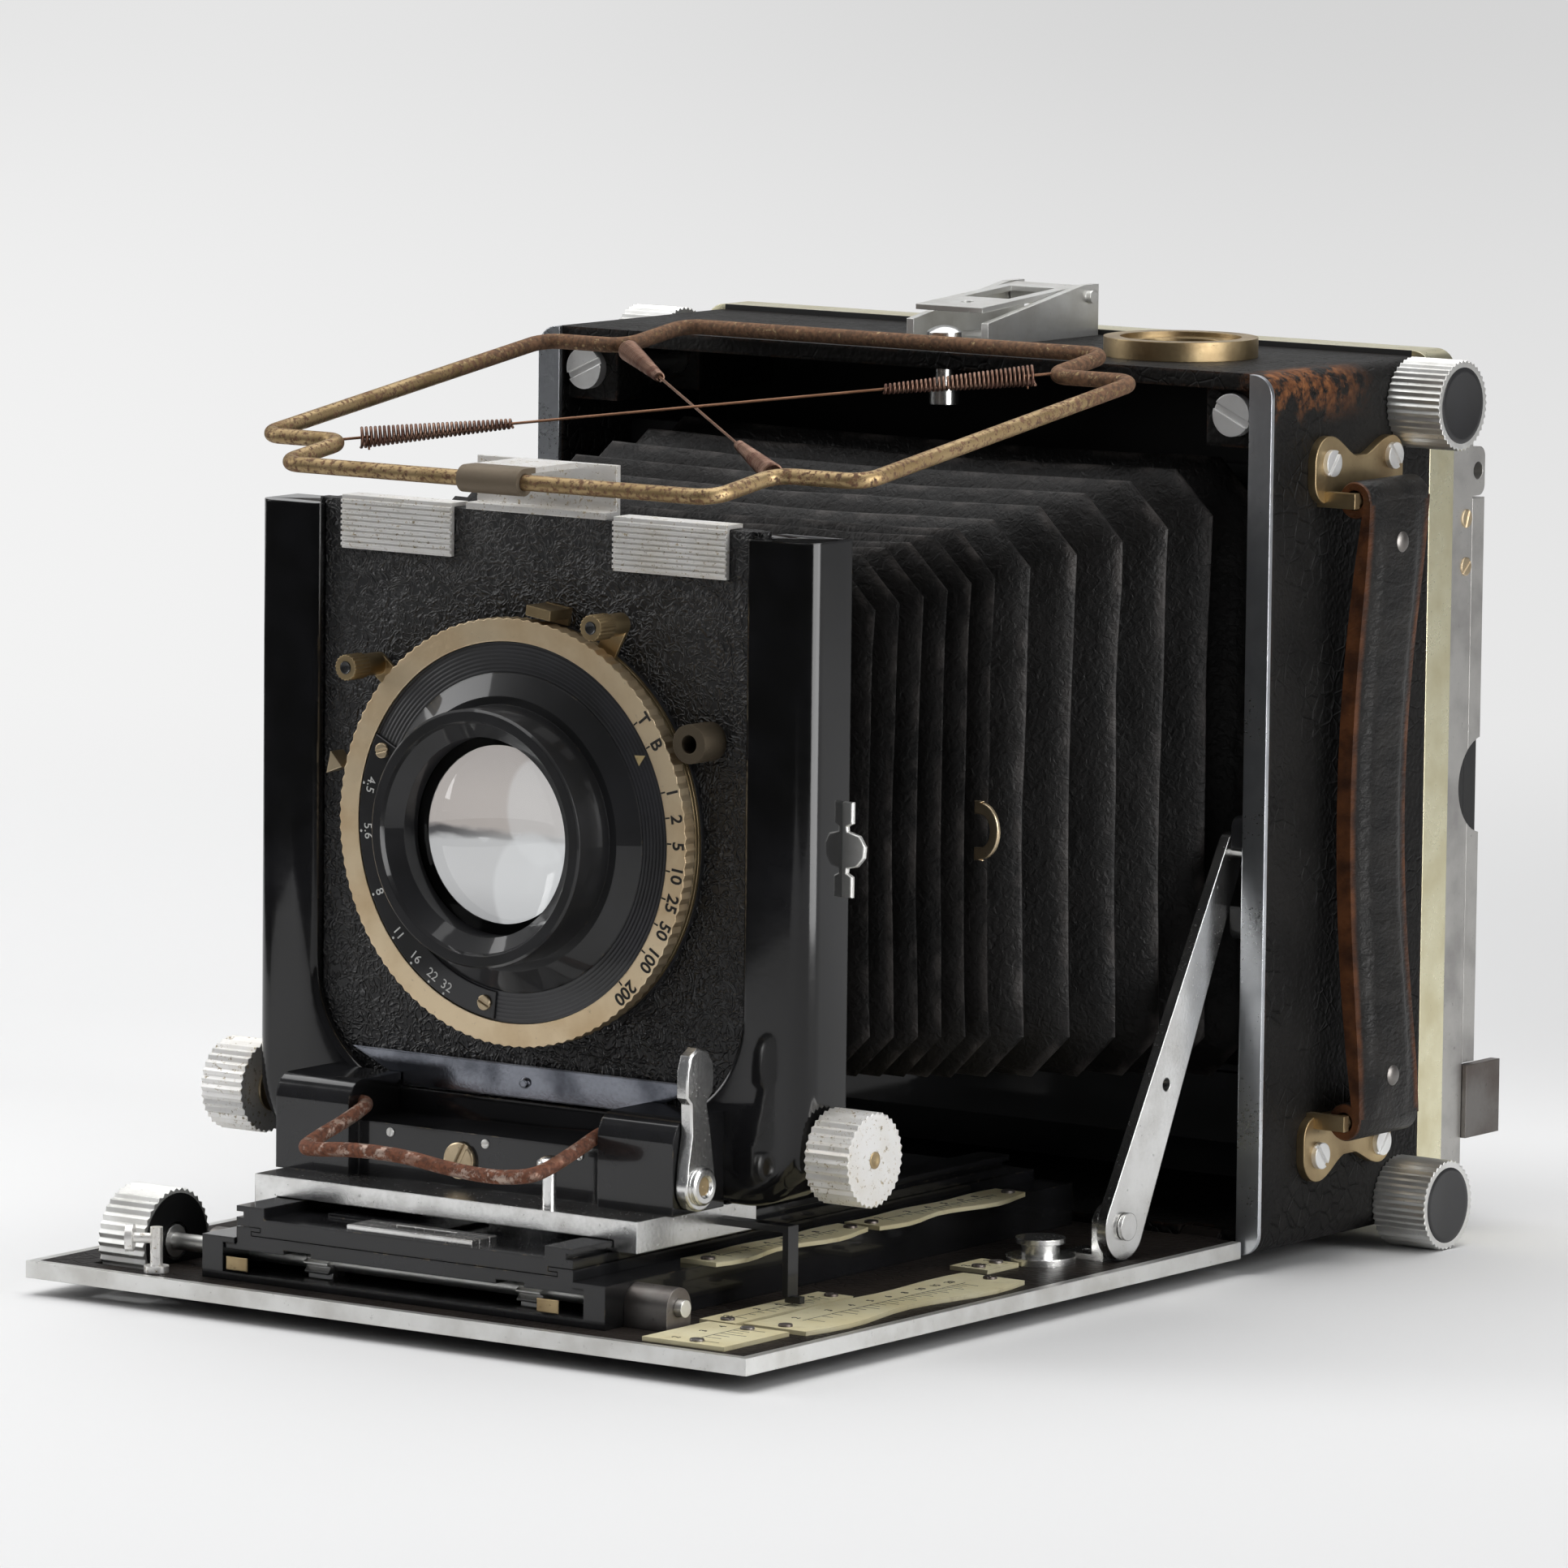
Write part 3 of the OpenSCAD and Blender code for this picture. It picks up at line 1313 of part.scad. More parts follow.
// Front barrel, and the rear cell behind the board
module lens_barrel() {
  seat = barrel_z1 - 9.5;
  color("#121214") on_lens() {
    rotate_extrude() polygon([[throat_r, hub_z1], [barrel_r + 5.5, hub_z1], [barrel_r + 1.5, hub_z1 + 2.2],
      [barrel_r, hub_z1 + 2.2], [barrel_r, barrel_z1 - 0.4], [barrel_r - 0.4, barrel_z1],
      [glass_r + 3, barrel_z1], [glass_r + 2.6, barrel_z1 - 0.8], [glass_r, barrel_z1 - 3],
      [glass_r, seat], [throat_r, seat]]);
    rotate_extrude() polygon([[rear_r - 3, face], [rear_r, face], [rear_r, face - rear_len],
      [rear_r - 3, face - rear_len]]);
  }
}

// Front and rear glass
module lens_glass() {
  dome = 2.4 * glass_r;
  color("#aebcbc") on_lens() {
    translate([0, 0, barrel_z1 - 9.5]) intersection() {
      cylinder(r = glass_r - run, h = 7);
      translate([0, 0, 6.5 - dome]) sphere(dome);
    }
    translate([0, 0, face - rear_len + 1]) cylinder(r = rear_r - 3 - run, h = 4);
  }
}

// Toothed rim that sets the speed
module speed_ring() {
  color("#c9b98c") on_lens() difference() {
    translate([0, 0, ring_z0]) linear_extrude(ring_t) fluted(ring_r, 110, 0.3);
    translate([0, 0, ring_z0 - 1]) cylinder(r = hub_r + run, h = ring_t + 2);
  }
}

// Thin ring that turns the diaphragm, with a pointer outside the rim
module aperture_ring() {
  z = layer_z(2);
  color("#b59a5c") on_lens() {
    ring(hub_r + run, flange_r, z, z + lever_t);
    rotate(167) {
      translate([flange_r - 1, -1.5, z]) cube([3.4, 3, lever_t]);
      translate([0, 0, z]) linear_extrude(ring_z1 - z)
        polygon([[ring_r + 0.6, 0], [ring_r + 3.6, 2], [ring_r + 3.6, -2]]);
    }
  }
}

// Thin ring with an arm and a knurled knob
module lever_ring(i, angle) {
  z = layer_z(i);
  on_lens() {
    ring(hub_r + run, flange_r, z, z + lever_t);
    rotate(angle) {
      translate([flange_r - 1, -2, z]) cube([knob_at - flange_r + 1, 4, lever_t]);
      translate([knob_at, 0, z]) {
        cylinder(r = 2, h = ring_z1 - z);
        translate([0, 0, ring_z1 - z - eps]) linear_extrude(4.4) fluted(knob_r, 20, 0.2);
      }
    }
  }
}

module cocking_lever() color("#a88c54") lever_ring(1, 62);
module release_lever() color("#a88c54") lever_ring(0, 141);

// Wire finder, drawn flat with its hinge along the first axis

module in_finder() {
  translate([0, wire_y, wire_z]) rotate([wire_tilt, 0, 0]) children();
}

// Corners of the frame, with a square step at each one
function frame_points() = let (a = step_x, b = wire_x, s = wire_step, e = wire_len)
  [[-a, 0], [a, 0], [a, s], [b, s], [b, e - s], [a, e - s],
   [a, e], [-a, e], [-a, e - s], [-b, e - s], [-b, s], [-a, s]];

module wire_frame() {
  color("#7c5a34") in_finder() bent_wire(frame_points(), wire_r, wire_bend, true);
}

// Inner corners that the cross wires are hung from, in opposite pairs
function cross_ends() = let (a = step_x, s = wire_step, e = wire_len)
  [[[-a, s], [a, e - s]], [[a, e - s], [-a, s]], [[a, s], [-a, e - s]], [[-a, e - s], [a, s]]];

// Point on the centre line of a spring, drawn along the third axis
function curl_point(t) = let (r = spring_r1 + (spring_r2 - spring_r1) * t, a = 360 * curls * t)
  [r * cos(a), r * sin(a), spring_len * t];

function curl_line() = let (n = 8 * curls, tail = 2 * spring_wire_r,
  p = [for (i = [0 : n]) curl_point(i / n)],
  d0 = (p[1] - p[0]) / norm(p[1] - p[0]), d1 = (p[n] - p[n - 1]) / norm(p[n] - p[n - 1]))
  concat([p[0] - tail * d0], p, [p[n] + tail * d1]);

curl_pts = curl_line();
curl_gap = min([for (i = [0 : len(curl_pts) - 7], j = [i + 6 : min(i + 18, len(curl_pts) - 1)])
  norm(curl_pts[i] - curl_pts[j])]) - 2 * spring_wire_r;
echo(least_gap_between_curls = curl_gap);

// Tube of six sides along a line of points
module tube(line, r) {
  n = len(line);
  sides = 6;
  pts = [for (i = [0 : n - 1]) let (
    t = line[min(i + 1, n - 1)] - line[max(i - 1, 0)],
    f = t / norm(t), u0 = [line[i][0], line[i][1], 0], u1 = u0 - (u0 * f) * f,
    u = u1 / norm(u1), v = cross(f, u))
    for (k = [0 : sides - 1]) line[i] + r * (cos(60 * k) * u + sin(60 * k) * v)];
  last = sides * (n - 1);
  polyhedron(points = pts, faces = concat(
    [for (i = [0 : n - 2], k = [0 : sides - 1]) let (a = sides * i + k, b = sides * i + (k + 1) % sides)
      each [[a, b + sides, b], [a, a + sides, b + sides]]],
    [for (k = [1 : sides - 2]) each [[0, k, k + 1], [last, last + k + 1, last + k]]]));
}

module cross_springs() {
  color("#6b3a22") in_finder() for (i = [0 : 3]) along_cross(i)
    translate([0, 0, spring_in]) tube(curl_pts, spring_wire_r);
}

// Places a piece drawn along the third axis on one half of a cross wire
module along_cross(i) {
  e = cross_ends()[i];
  d = e[1] - e[0];
  lift = i < 2 ? cross_lift : -cross_lift;
  translate([e[0][0], e[0][1], lift]) rotate([0, 0, atan2(d[1], d[0])]) rotate([0, 90, 0]) children();
}

// Thin wires between the springs, with a short tail to each corner of the frame
module cross_wires() {
  e = cross_ends()[0];
  span = norm(e[1] - e[0]);
  tail = wire_bend * (sqrt(2) - 1);
  near = spring_in + spring_len;
  hook_r = cross_r - 0.05;
  color("#a8613a") in_finder() {
    for (i = [0, 2]) along_cross(i)
      translate([0, 0, near - 0.5]) cylinder(r = cross_r, h = span - 2 * near + 1);
    for (i = [0 : 3]) along_cross(i) {
      translate([0, 0, -tail]) cylinder(r = cross_r, h = tail + spring_in + 0.5);
      translate([0, 0, spring_in]) rotate([0, 90, 0]) cylinder(r = hook_r, h = spring_r1);
      translate([0, 0, near]) rotate([0, 90, 0]) cylinder(r = hook_r, h = spring_r2);
    }
  }
}

body_shell();
front_trim();
slotted_screws();
strap_brackets();
straps();
sight_base();
peep_leaf();
accessory_ring();
release_button();
bellows_frame();
hinge_pins();
strut_guides();
bellows();
back_frame();
back_rods();
light_sleeve();
back_plate();
focusing_screen();
screen_lid();
back_latch();
clamp_knob_upper_right();
clamp_knob_upper_left();
clamp_knob_lower_right();
clamp_knob_lower_left();
bed_plate();
bed_trim();
tripod_bush();
base_rail();
scale_plates();
strut_brackets();
stop_button();
pinion_bearings();
struts();
focus_pinion();
focus_lock();
focus_track();
upper_track();
carriage_bar();
carriage_block();
standard_frame();
scale_pointer();
bail();
clamp_lever();
rise_pinion();
lens_board();
panel_rail();
board_clip_right();
board_clip_left();
finder_bracket();
shutter_case();
shutter_fittings();
lens_barrel();
lens_glass();
speed_ring();
aperture_ring();
cocking_lever();
release_lever();
wire_frame();
cross_springs();
cross_wires();
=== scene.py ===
# %% [markdown]
# # A folding press camera
# A press camera is a leather-covered box with a bed that drops open. A standard with the lens runs
# out on tracks, and a pleated bellows keeps the light out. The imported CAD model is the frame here:
# it gives every piece its place, and this script gives the pieces their looks.

# %% load the frame
from math import atan2, copysign, cos, pi, radians, sin

import bmesh
import bpy
from mathutils import Matrix, Vector, noise


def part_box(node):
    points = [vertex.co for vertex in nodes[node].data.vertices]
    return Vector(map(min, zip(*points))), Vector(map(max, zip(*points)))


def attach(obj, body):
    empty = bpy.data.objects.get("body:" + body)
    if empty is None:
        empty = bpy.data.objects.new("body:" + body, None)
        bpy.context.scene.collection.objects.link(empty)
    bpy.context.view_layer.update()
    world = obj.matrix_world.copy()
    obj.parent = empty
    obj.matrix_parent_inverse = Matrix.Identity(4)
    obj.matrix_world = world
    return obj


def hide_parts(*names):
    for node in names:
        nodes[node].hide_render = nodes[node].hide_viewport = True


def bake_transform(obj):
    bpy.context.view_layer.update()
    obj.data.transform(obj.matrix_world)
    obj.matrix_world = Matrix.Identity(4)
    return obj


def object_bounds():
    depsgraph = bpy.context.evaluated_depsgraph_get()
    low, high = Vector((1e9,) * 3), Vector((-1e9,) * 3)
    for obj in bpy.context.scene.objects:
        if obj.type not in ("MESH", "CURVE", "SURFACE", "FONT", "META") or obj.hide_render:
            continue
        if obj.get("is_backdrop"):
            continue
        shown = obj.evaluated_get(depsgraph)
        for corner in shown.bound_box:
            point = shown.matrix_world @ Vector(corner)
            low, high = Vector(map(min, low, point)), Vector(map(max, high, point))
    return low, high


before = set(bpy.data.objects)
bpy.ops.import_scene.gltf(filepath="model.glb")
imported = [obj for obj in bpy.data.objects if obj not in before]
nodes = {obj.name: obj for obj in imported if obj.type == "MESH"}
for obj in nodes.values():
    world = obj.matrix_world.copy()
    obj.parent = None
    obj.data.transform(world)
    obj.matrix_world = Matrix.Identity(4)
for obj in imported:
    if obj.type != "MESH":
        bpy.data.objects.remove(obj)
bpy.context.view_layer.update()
scene = bpy.context.scene
MM = 0.001

# %% [markdown]
# ## Meshes in millimetres
# Small parts are easiest to think of in millimetres. `Shape` collects simple closed forms (plates,
# turned rings, bent wires) and makes one mesh of them, in metres, that rides on one body. A list of
# points and faces is used instead of Blender's own cubes because every form gets its own edges.

# %% mesh helpers
CREASE = 35  # edges bent by more degrees than this stay sharp
OUT = {1: "x", -1: "-x"}  # the way out of the right and the left side


def circle(r, steps=32, start=0.0, end=360.0, middle=(0.0, 0.0)):
    """The points of a circle, or of an arc with both its ends; angles in degrees."""
    count = steps if end - start >= 360 else steps + 1
    angles = [radians(start + (end - start) * i / steps) for i in range(count)]
    return [(middle[0] + r * cos(a), middle[1] + r * sin(a)) for a in angles]


def rect(x0, y0, x1, y1):
    return [(x0, y0), (x1, y0), (x1, y1), (x0, y1)]


def shrink(outline, by):
    """The outline moved inwards by a distance; it runs counterclockwise."""
    n, moved = len(outline), []
    for i in range(n):
        a, b, c = (Vector(outline[(i + k) % n]) for k in (-1, 0, 1))
        d0, d1 = (b - a).normalized(), (c - b).normalized()
        n0, n1 = Vector((-d0.y, d0.x)), Vector((-d1.y, d1.x))
        moved.append(b + (n0 + n1) * (by / max(0.4, 1 + n0.dot(n1))))
    return [tuple(p) for p in moved]


class Shape:
    def __init__(self):
        self.points, self.faces, self.tags = [], [], []

    def add(self, points, faces, place=None, tags=None):
        base = len(self.points)
        self.points += [(place @ Vector(p)) if place else Vector(p) for p in points]
        self.faces += [[base + i for i in f] for f in faces]
        self.tags += tags or [0.0] * len(points)
        return self

    def rings(self, rings, place=None, tags=None, loop=False):
        """Skins a row of rings that all have the same number of points."""
        n, m = len(rings[0]), len(rings)
        faces = []
        for i in range(m if loop else m - 1):
            a, b = i * n, (i + 1) % m * n
            faces += [[a + k, a + (k + 1) % n, b + (k + 1) % n, b + k] for k in range(n)]
        if not loop:
            faces += [list(range(n))[::-1], [(m - 1) * n + k for k in range(n)]]
        return self.add([p for r in rings for p in r], faces, place, tags)

    def plate(self, outline, z0, z1, place=None, edge=0.0):
        """A flat piece with an optional chamfer around its upper face."""
        levels = [(outline, z0), (outline, z1 - edge)]
        if edge:
            levels.append((shrink(outline, edge), z1))
        return self.rings([[(x, y, z) for x, y in line] for line, z in levels], place)

    def turned(self, profile, place=None, steps=40, tags=()):
        """A closed profile of (radius, height) turned about the third axis."""
        spin = [[(r * cos(a), r * sin(a), z) for r, z in profile]
                for a in (2 * pi * i / steps for i in range(steps))]
        return self.rings(spin, place, [*tags] * steps, loop=True)

    def wire(self, path, r, sides, place):
        """A round wire along a line of points."""
        side, rings = None, []
        for i, p in enumerate(path):
            t = (path[min(i + 1, len(path) - 1)] - path[max(i - 1, 0)]).normalized()
            side = (side or t.orthogonal()).cross(t).cross(t).normalized() * -1
            up = t.cross(side)
            rings.append([tuple(p + side * x + up * y) for x, y in circle(r, sides)])
        return self.rings(rings, place)

    def mesh(self, name, smooth=CREASE):
        mesh = bpy.data.meshes.new(name)
        mesh.from_pydata([p * MM for p in self.points], [], self.faces)
        if any(self.tags):
            mesh.attributes.new("tag", "FLOAT", "POINT").data.foreach_set("value", self.tags)
        edit = bmesh.new()
        edit.from_mesh(mesh)
        bmesh.ops.recalc_face_normals(edit, faces=edit.faces)
        return settled(edit, mesh, smooth)

    def piece(self, name, paint, body=None, slot=None, stands_for=(), smooth=CREASE):
        return finished(name, self.mesh(name, smooth), paint, body, stands_for)


def settled(edit, mesh, smooth=CREASE):
    """Writes an edited mesh back, smooth between its sharp edges."""
    edit.to_mesh(mesh)
    edit.free()
    mesh.shade_smooth()
    mesh.set_sharp_from_angle(angle=radians(smooth))
    return mesh


def linked(name, data):
    thing = bpy.data.objects.new(name, data)
    scene.collection.objects.link(thing)
    return thing


def finished(name, mesh, paint, body=None, stands_for=()):
    """Puts a mesh in the scene with its material, body and the node that it stands for."""
    thing = linked(name, mesh)
    mesh.materials.clear()
    mesh.materials.append(paint)
    if body:
        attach(thing, body)
    if stands_for:
        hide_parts(*stands_for)
    print(name, len(mesh.polygons), "faces")
    return thing


def at(x, y, z, axis="z", spin=0.0):
    """A place whose third axis points along the named axis, turned by spin about it."""
    turn = {"x": ((0, 0, 1), (1, 0, 0), (0, 1, 0)), "-x": ((0, 0, -1), (-1, 0, 0), (0, 1, 0)),
            "y": ((-1, 0, 0), (0, 0, 1), (0, 1, 0)), "-y": ((1, 0, 0), (0, 0, -1), (0, 1, 0)),
            "z": ((1, 0, 0), (0, 1, 0), (0, 0, 1))}[axis]
    spun = Matrix.Rotation(radians(spin), 4, "Z")
    return Matrix.Translation((x, y, z)) @ Matrix(turn).to_4x4() @ spun


# %% [markdown]
# ## A small language for shaders
# A material is a sum of small ideas: grain plus stains plus worn edges. `Tone` is a value in a
# shader, and arithmetic on it makes the Math nodes. `Paint` is one material. Positions are those of
# the object itself, so a stain stays in its place.

# %% shader helpers
def new_node(tree, kind, settings, sockets):
    """A node with its settings; each socket gets a link or a plain value."""
    made = tree.nodes.new(kind)
    for key, value in (settings or {}).items():
        setattr(made, key, value)
    for key, value in sockets:
        if isinstance(value, bpy.types.NodeSocket):
            tree.links.new(value, made.inputs[key])
        else:
            made.inputs[key].default_value = value
    return made.outputs


class Tone:
    def __init__(self, paint, socket):
        self.paint, self.socket = paint, socket

    def math(self, operation, *others):
        return self.paint.node("Math", {"operation": operation}, [self, *others])

    def __add__(self, other): return self.math("ADD", other)
    def __sub__(self, other): return self.math("SUBTRACT", other)
    def __mul__(self, other): return self.math("MULTIPLY", other)
    def __gt__(self, other): return self.math("GREATER_THAN", other)
    def __lt__(self, other): return self.math("LESS_THAN", other)
    __radd__, __rmul__ = __add__, __mul__

    def __rsub__(self, other):
        return self.paint.node("Math", {"operation": "SUBTRACT"}, [other, self])

    def span(self, low, high):
        """0 below low, 1 above high, smooth between them."""
        return self.paint.node("MapRange", {"interpolation_type": "SMOOTHSTEP"},
                               {"Value": self, "From Min": low, "From Max": high})


class Paint:
    def __init__(self, name, shine=0.5, **constants):
        self.material = bpy.data.materials.new(name)
        self.material.use_nodes = True
        self.tree = self.material.node_tree
        self.shader = self.tree.nodes["Principled BSDF"]
        for socket, value in {"Specular_IOR_Level": shine, **constants}.items():
            self.shader.inputs[socket.replace("_", " ")].default_value = value
        self.place = self.node("TexCoord", out="Object")
        self.x, self.y, self.z = (self.node("SeparateXYZ", {}, [self.place], out=i) * 1000
                                  for i in range(3))

    def node(self, kind, settings=None, sockets=(), out=0):
        pairs = sockets.items() if isinstance(sockets, dict) else enumerate(sockets)
        pairs = [(key, value.socket if isinstance(value, Tone) else value) for key, value in pairs]
        return Tone(self, new_node(self.tree, "ShaderNode" + kind, settings, pairs)[out])

    def noise(self, size, detail=3.0, warp=0.0, rough=0.5, stretch=(1, 1, 1)):
        """Noise whose features are about size millimetres across."""
        place = self.node("Mapping", {}, {"Vector": self.place, "Scale": stretch})
        return self.node("TexNoise", {}, {"Vector": place, "Scale": 1000 / size, "Detail": detail,
                                          "Roughness": rough, "Distortion": warp})

    def cells(self, size, feature):
        return self.node("TexVoronoi", {"feature": feature},
                         {"Vector": self.place, "Scale": 1000 / size}, out="Distance")

    def mix(self, factor, a, b):
        a, b = ((*c, 1.0) if isinstance(c, tuple) else c for c in (a, b))
        return self.node("Mix", {"data_type": "RGBA"}, {0: factor, 6: a, 7: b}, out=2)

    def mottled(self, size, detail, a, b):
        """Two colours in soft patches."""
        return self.mix(self.noise(size, detail).span(0.3, 0.7), a, b)

    def tag(self):
        return self.node("Attribute", {"attribute_name": "tag"}, out="Fac")

    def rounded(self, radius):
        """The normal of the surface with its edges rounded by radius millimetres."""
        return self.node("Bevel", {"samples": 4}, {"Radius": radius * MM})

    def edges(self, radius):
        """1 on a sharp edge and 0 on a flat face."""
        plain = self.node("NewGeometry", out="Normal")
        return 1 - self.node("VectorMath", {"operation": "DOT_PRODUCT"},
                             [self.rounded(radius), plain], out="Value")

    def feed(self, colour, roughness=None, height=None, depth=0.0, soft=0.0, **others):
        """Feeds the shader; a height makes a bump, over edges that are rounded by soft."""
        sockets = {"Base Color": colour, "Roughness": roughness, **others}
        if height:
            bump = {"Height": height, "Distance": depth * MM, "Strength": 1.0}
            if soft:
                bump["Normal"] = self.rounded(soft)
            sockets["Normal"] = self.node("Bump", {}, bump)
        for key, value in sockets.items():
            if value:
                self.tree.links.new(value.socket, self.shader.inputs[key.replace("_", " ")])
        return self.material


def dim(colour, share):
    return tuple(c * share for c in colour)


# %% [markdown]
# ## Metals
# Plated brass keeps its shine where hands don't reach, and dulls, spots and yellows elsewhere. One
# recipe makes all the metals: two colours mixed by broad noise, small pits, rust where asked, a
# roughness that follows the stains, and edges rounded in the normal so that they catch the light.

# %% metals
def metal(name, bright, dull, rough, pits=0.25, rust=None, wear=None, lined=None,
          lining=(0.008, 0.008, 0.008), shine=0.0, mirror=1.0, soft=0.25):
    """rust: (colour, share, size in millimetres); lined(p) is 1 where the lining covers it."""
    p = Paint(name, Metallic=1.0)
    broad, fine = p.noise(9, 4), p.noise(0.7, 3)
    colour = p.mix(broad.span(0.35, 0.75), bright, dull)
    pit = p.noise(1.3, 5, rough=0.7).span(0.62, 0.72) * pits
    colour = p.mix(pit, colour, dim(dull, 0.3))
    roughness = broad * 0.12 + fine * 0.14 + pit * 0.35 + (rough - 0.13)
    metallic = mirror - pit * 0.3
    if rust:
        brown, share, size = rust
        spot = p.noise(size, 6, rough=0.7) + (wear(p) if wear else 0.0)
        spot = spot.span(0.62 - share, 0.72 - share)
        colour = p.mix(spot, colour, p.mottled(0.8, 4, brown, dim(brown, 0.45)))
        roughness, metallic = roughness + spot * 0.35, metallic * (1 - spot * 0.85)
    if lined:
        inside = lined(p)
        colour = p.mix(inside, colour, lining)
        metallic = metallic * (1 - inside * (1 - shine))
        roughness = roughness + inside * 0.25
    height = fine * 0.35 + p.noise(0.25, 2) * 0.15 - pit * 0.6
    return p.feed(colour, roughness, height, 0.04, soft, Metallic=metallic)


NICKEL = metal("bright_nickel", (0.78, 0.78, 0.77), (0.60, 0.59, 0.57), 0.24)
SATIN = metal("satin_nickel", (0.80, 0.80, 0.78), (0.62, 0.61, 0.58), 0.40, 0.35)
PLATED = metal("plated_steel", (0.86, 0.86, 0.85), (0.72, 0.71, 0.69), 0.34, 0.25, mirror=0.6)
SPOTTED = metal("spotted_nickel", (0.94, 0.93, 0.91), (0.82, 0.79, 0.73), 0.36, 0.25,
                rust=((0.54, 0.44, 0.28), 0.06, 1.0), mirror=0.5)
BRACKET = metal("bracket_nickel", (0.90, 0.89, 0.87), (0.76, 0.73, 0.68), 0.36, 0.3,
                rust=((0.50, 0.40, 0.25), 0.06, 1.0), lining=(0.16, 0.125, 0.085), shine=0.8,
                lined=lambda p: (p.z > 143.4) * (p.y < -41.6), mirror=0.6)
TRIM = metal("front_trim", (0.66, 0.68, 0.71), (0.50, 0.52, 0.55), 0.30, 0.06)
# The rail's colour is painted dark, a painted reflection of the dark room that the chrome mirrors.
RAIL = metal("rail_chrome", (0.20, 0.21, 0.24), (0.07, 0.075, 0.09), 0.16, 0.1, soft=0.5)
WARM = metal("warm_nickel", (0.82, 0.78, 0.56), (0.70, 0.64, 0.42), 0.30, 0.2,
             lined=lambda p: (p.y < 129.6) * (p.x.math("ABSOLUTE") < 76.5))
GILT = metal("champagne", (0.84, 0.68, 0.46), (0.68, 0.51, 0.31), 0.40, 0.35)
old_brass = (0.42, 0.32, 0.18), (0.24, 0.17, 0.09), 0.38, 0.6
BRASS = metal("old_brass", *old_brass)
FITTINGS = metal("dark_brass", *old_brass, lined=lambda p: p.x.span(28, 30),
                 lining=(0.10, 0.08, 0.055), shine=0.9)
PALE_BRASS = metal("pale_brass", (0.60, 0.49, 0.33), (0.40, 0.31, 0.20), 0.36, 0.5)
GREY = metal("grey_metal", (0.50, 0.49, 0.47), (0.34, 0.33, 0.32), 0.46, 0.4,
             lined=lambda p: (p.x > 77.1) * (p.x < 77.8) * ((p.z - 81.15).math("ABSOLUTE") < 9.2))
STEEL = metal("dark_steel", (0.20, 0.19, 0.18), (0.12, 0.10, 0.09), 0.42, 0.5)
COPPER = metal("copper_wire", (0.24, 0.13, 0.08), (0.14, 0.07, 0.04), 0.46, 0.3)
SPRING = metal("spring_wire", (0.24, 0.15, 0.11), (0.13, 0.07, 0.05), 0.46, 0.5,
               rust=((0.17, 0.065, 0.04), 0.10, 5.0), soft=0.05)
WIRE = metal("rusty_wire", (0.38, 0.28, 0.15), (0.22, 0.15, 0.07), 0.48, 0.9,
             rust=((0.21, 0.105, 0.05), 0.13, 1.0), soft=0.1,
             wear=lambda p: p.y.span(20, 62) * 0.16)
RUST = metal("rusty_steel", (0.46, 0.36, 0.30), (0.24, 0.12, 0.08), 0.48, 0.8,
             rust=((0.22, 0.078, 0.038), 0.21, 2.6), soft=0.1)
print("metals made")

# %% [markdown]
# ## Leather
# The box is covered in thin goatskin, pressed with a grain and long since dried: fine cracks run
# over it and the corners have rubbed through to the brown. The lens board wears a moulded
# leatherette with short worm-like wrinkles, their tops painted paler as a painted highlight. Both
# are a height for the bump and a mask for the colour: wear on the box, a painted highlight on the
# board.

# %% leathers
def hide(name, dark, pale, rough, grain, crack, worn=None, depth=0.25, soft=0.6):
    p = Paint(name, shine=0.10)
    broad = p.noise(18, 4)
    pebble = p.cells(grain, "SMOOTH_F1")
    wrinkle = p.noise(grain * 1.8, 4, warp=1.2)
    lines = 1 - p.cells(crack, "DISTANCE_TO_EDGE").span(0.0, 0.09)
    lines = lines * p.noise(14, 3).span(0.42, 0.62)
    colour = p.mix(broad.span(0.3, 0.7), dark, pale)
    colour = p.mix(lines * 0.5, colour, dim(dark, 0.35))
    roughness = broad * 0.25 + wrinkle * 0.2 + (rough - 0.22)
    if worn:
        rub = worn(p)
        colour = p.mix(rub, colour, p.mottled(1.5, 5, (0.30, 0.12, 0.045), (0.11, 0.042, 0.018)))
        roughness = roughness + rub * 0.15
    height = pebble * -0.6 + wrinkle * 0.7 - lines * 0.8
    return p.feed(colour, roughness, height, depth, soft)


def corner_rub(p):
    """Wear where hands and bags rub: sharp edges, most of all along the top right."""
    top_right = p.x.span(72, 79.5) * p.z.span(151, 158.5) * (1 - p.y.span(94, 112))
    worn = p.edges(1.2).span(0.02, 0.3) * 0.22 + top_right * 0.95
    return worn * p.noise(5, 6, rough=0.7).span(0.44, 0.56)


HIDE = hide("body_leather", (0.008, 0.0076, 0.0072), (0.015, 0.014, 0.013), 0.50, 0.9, 3.2,
            corner_rub, soft=1.4)
BED_HIDE = hide("bed_leather", (0.012, 0.010, 0.009), (0.022, 0.017, 0.014), 0.52, 1.1, 3.0,
                depth=0.2)


def pleated(name):
    """Thin black leather, painted grey on its ridges, partly as worn leather and partly as a painted
    highlight; the tag is 1 on a ridge.
    """
    p = Paint(name, shine=0.16)
    # The ridges are painted grey: partly wear, partly a painted highlight.
    ridge_wear_and_highlight = p.tag().span(0.82, 1.0) * p.noise(6, 5).span(0.4, 0.7) * 0.7
    black = p.mottled(16, 4, (0.005, 0.0047, 0.0045), (0.010, 0.009, 0.0085))
    colour = p.mix(ridge_wear_and_highlight, black, (0.070, 0.062, 0.058))
    roughness = p.noise(10, 4) * 0.3 + 0.28
    height = p.noise(1.2, 4, warp=0.8) * 0.7 + p.noise(9, 3, stretch=(1, 0.4, 1)) * 1.6
    return p.feed(colour, roughness, height, 0.30)


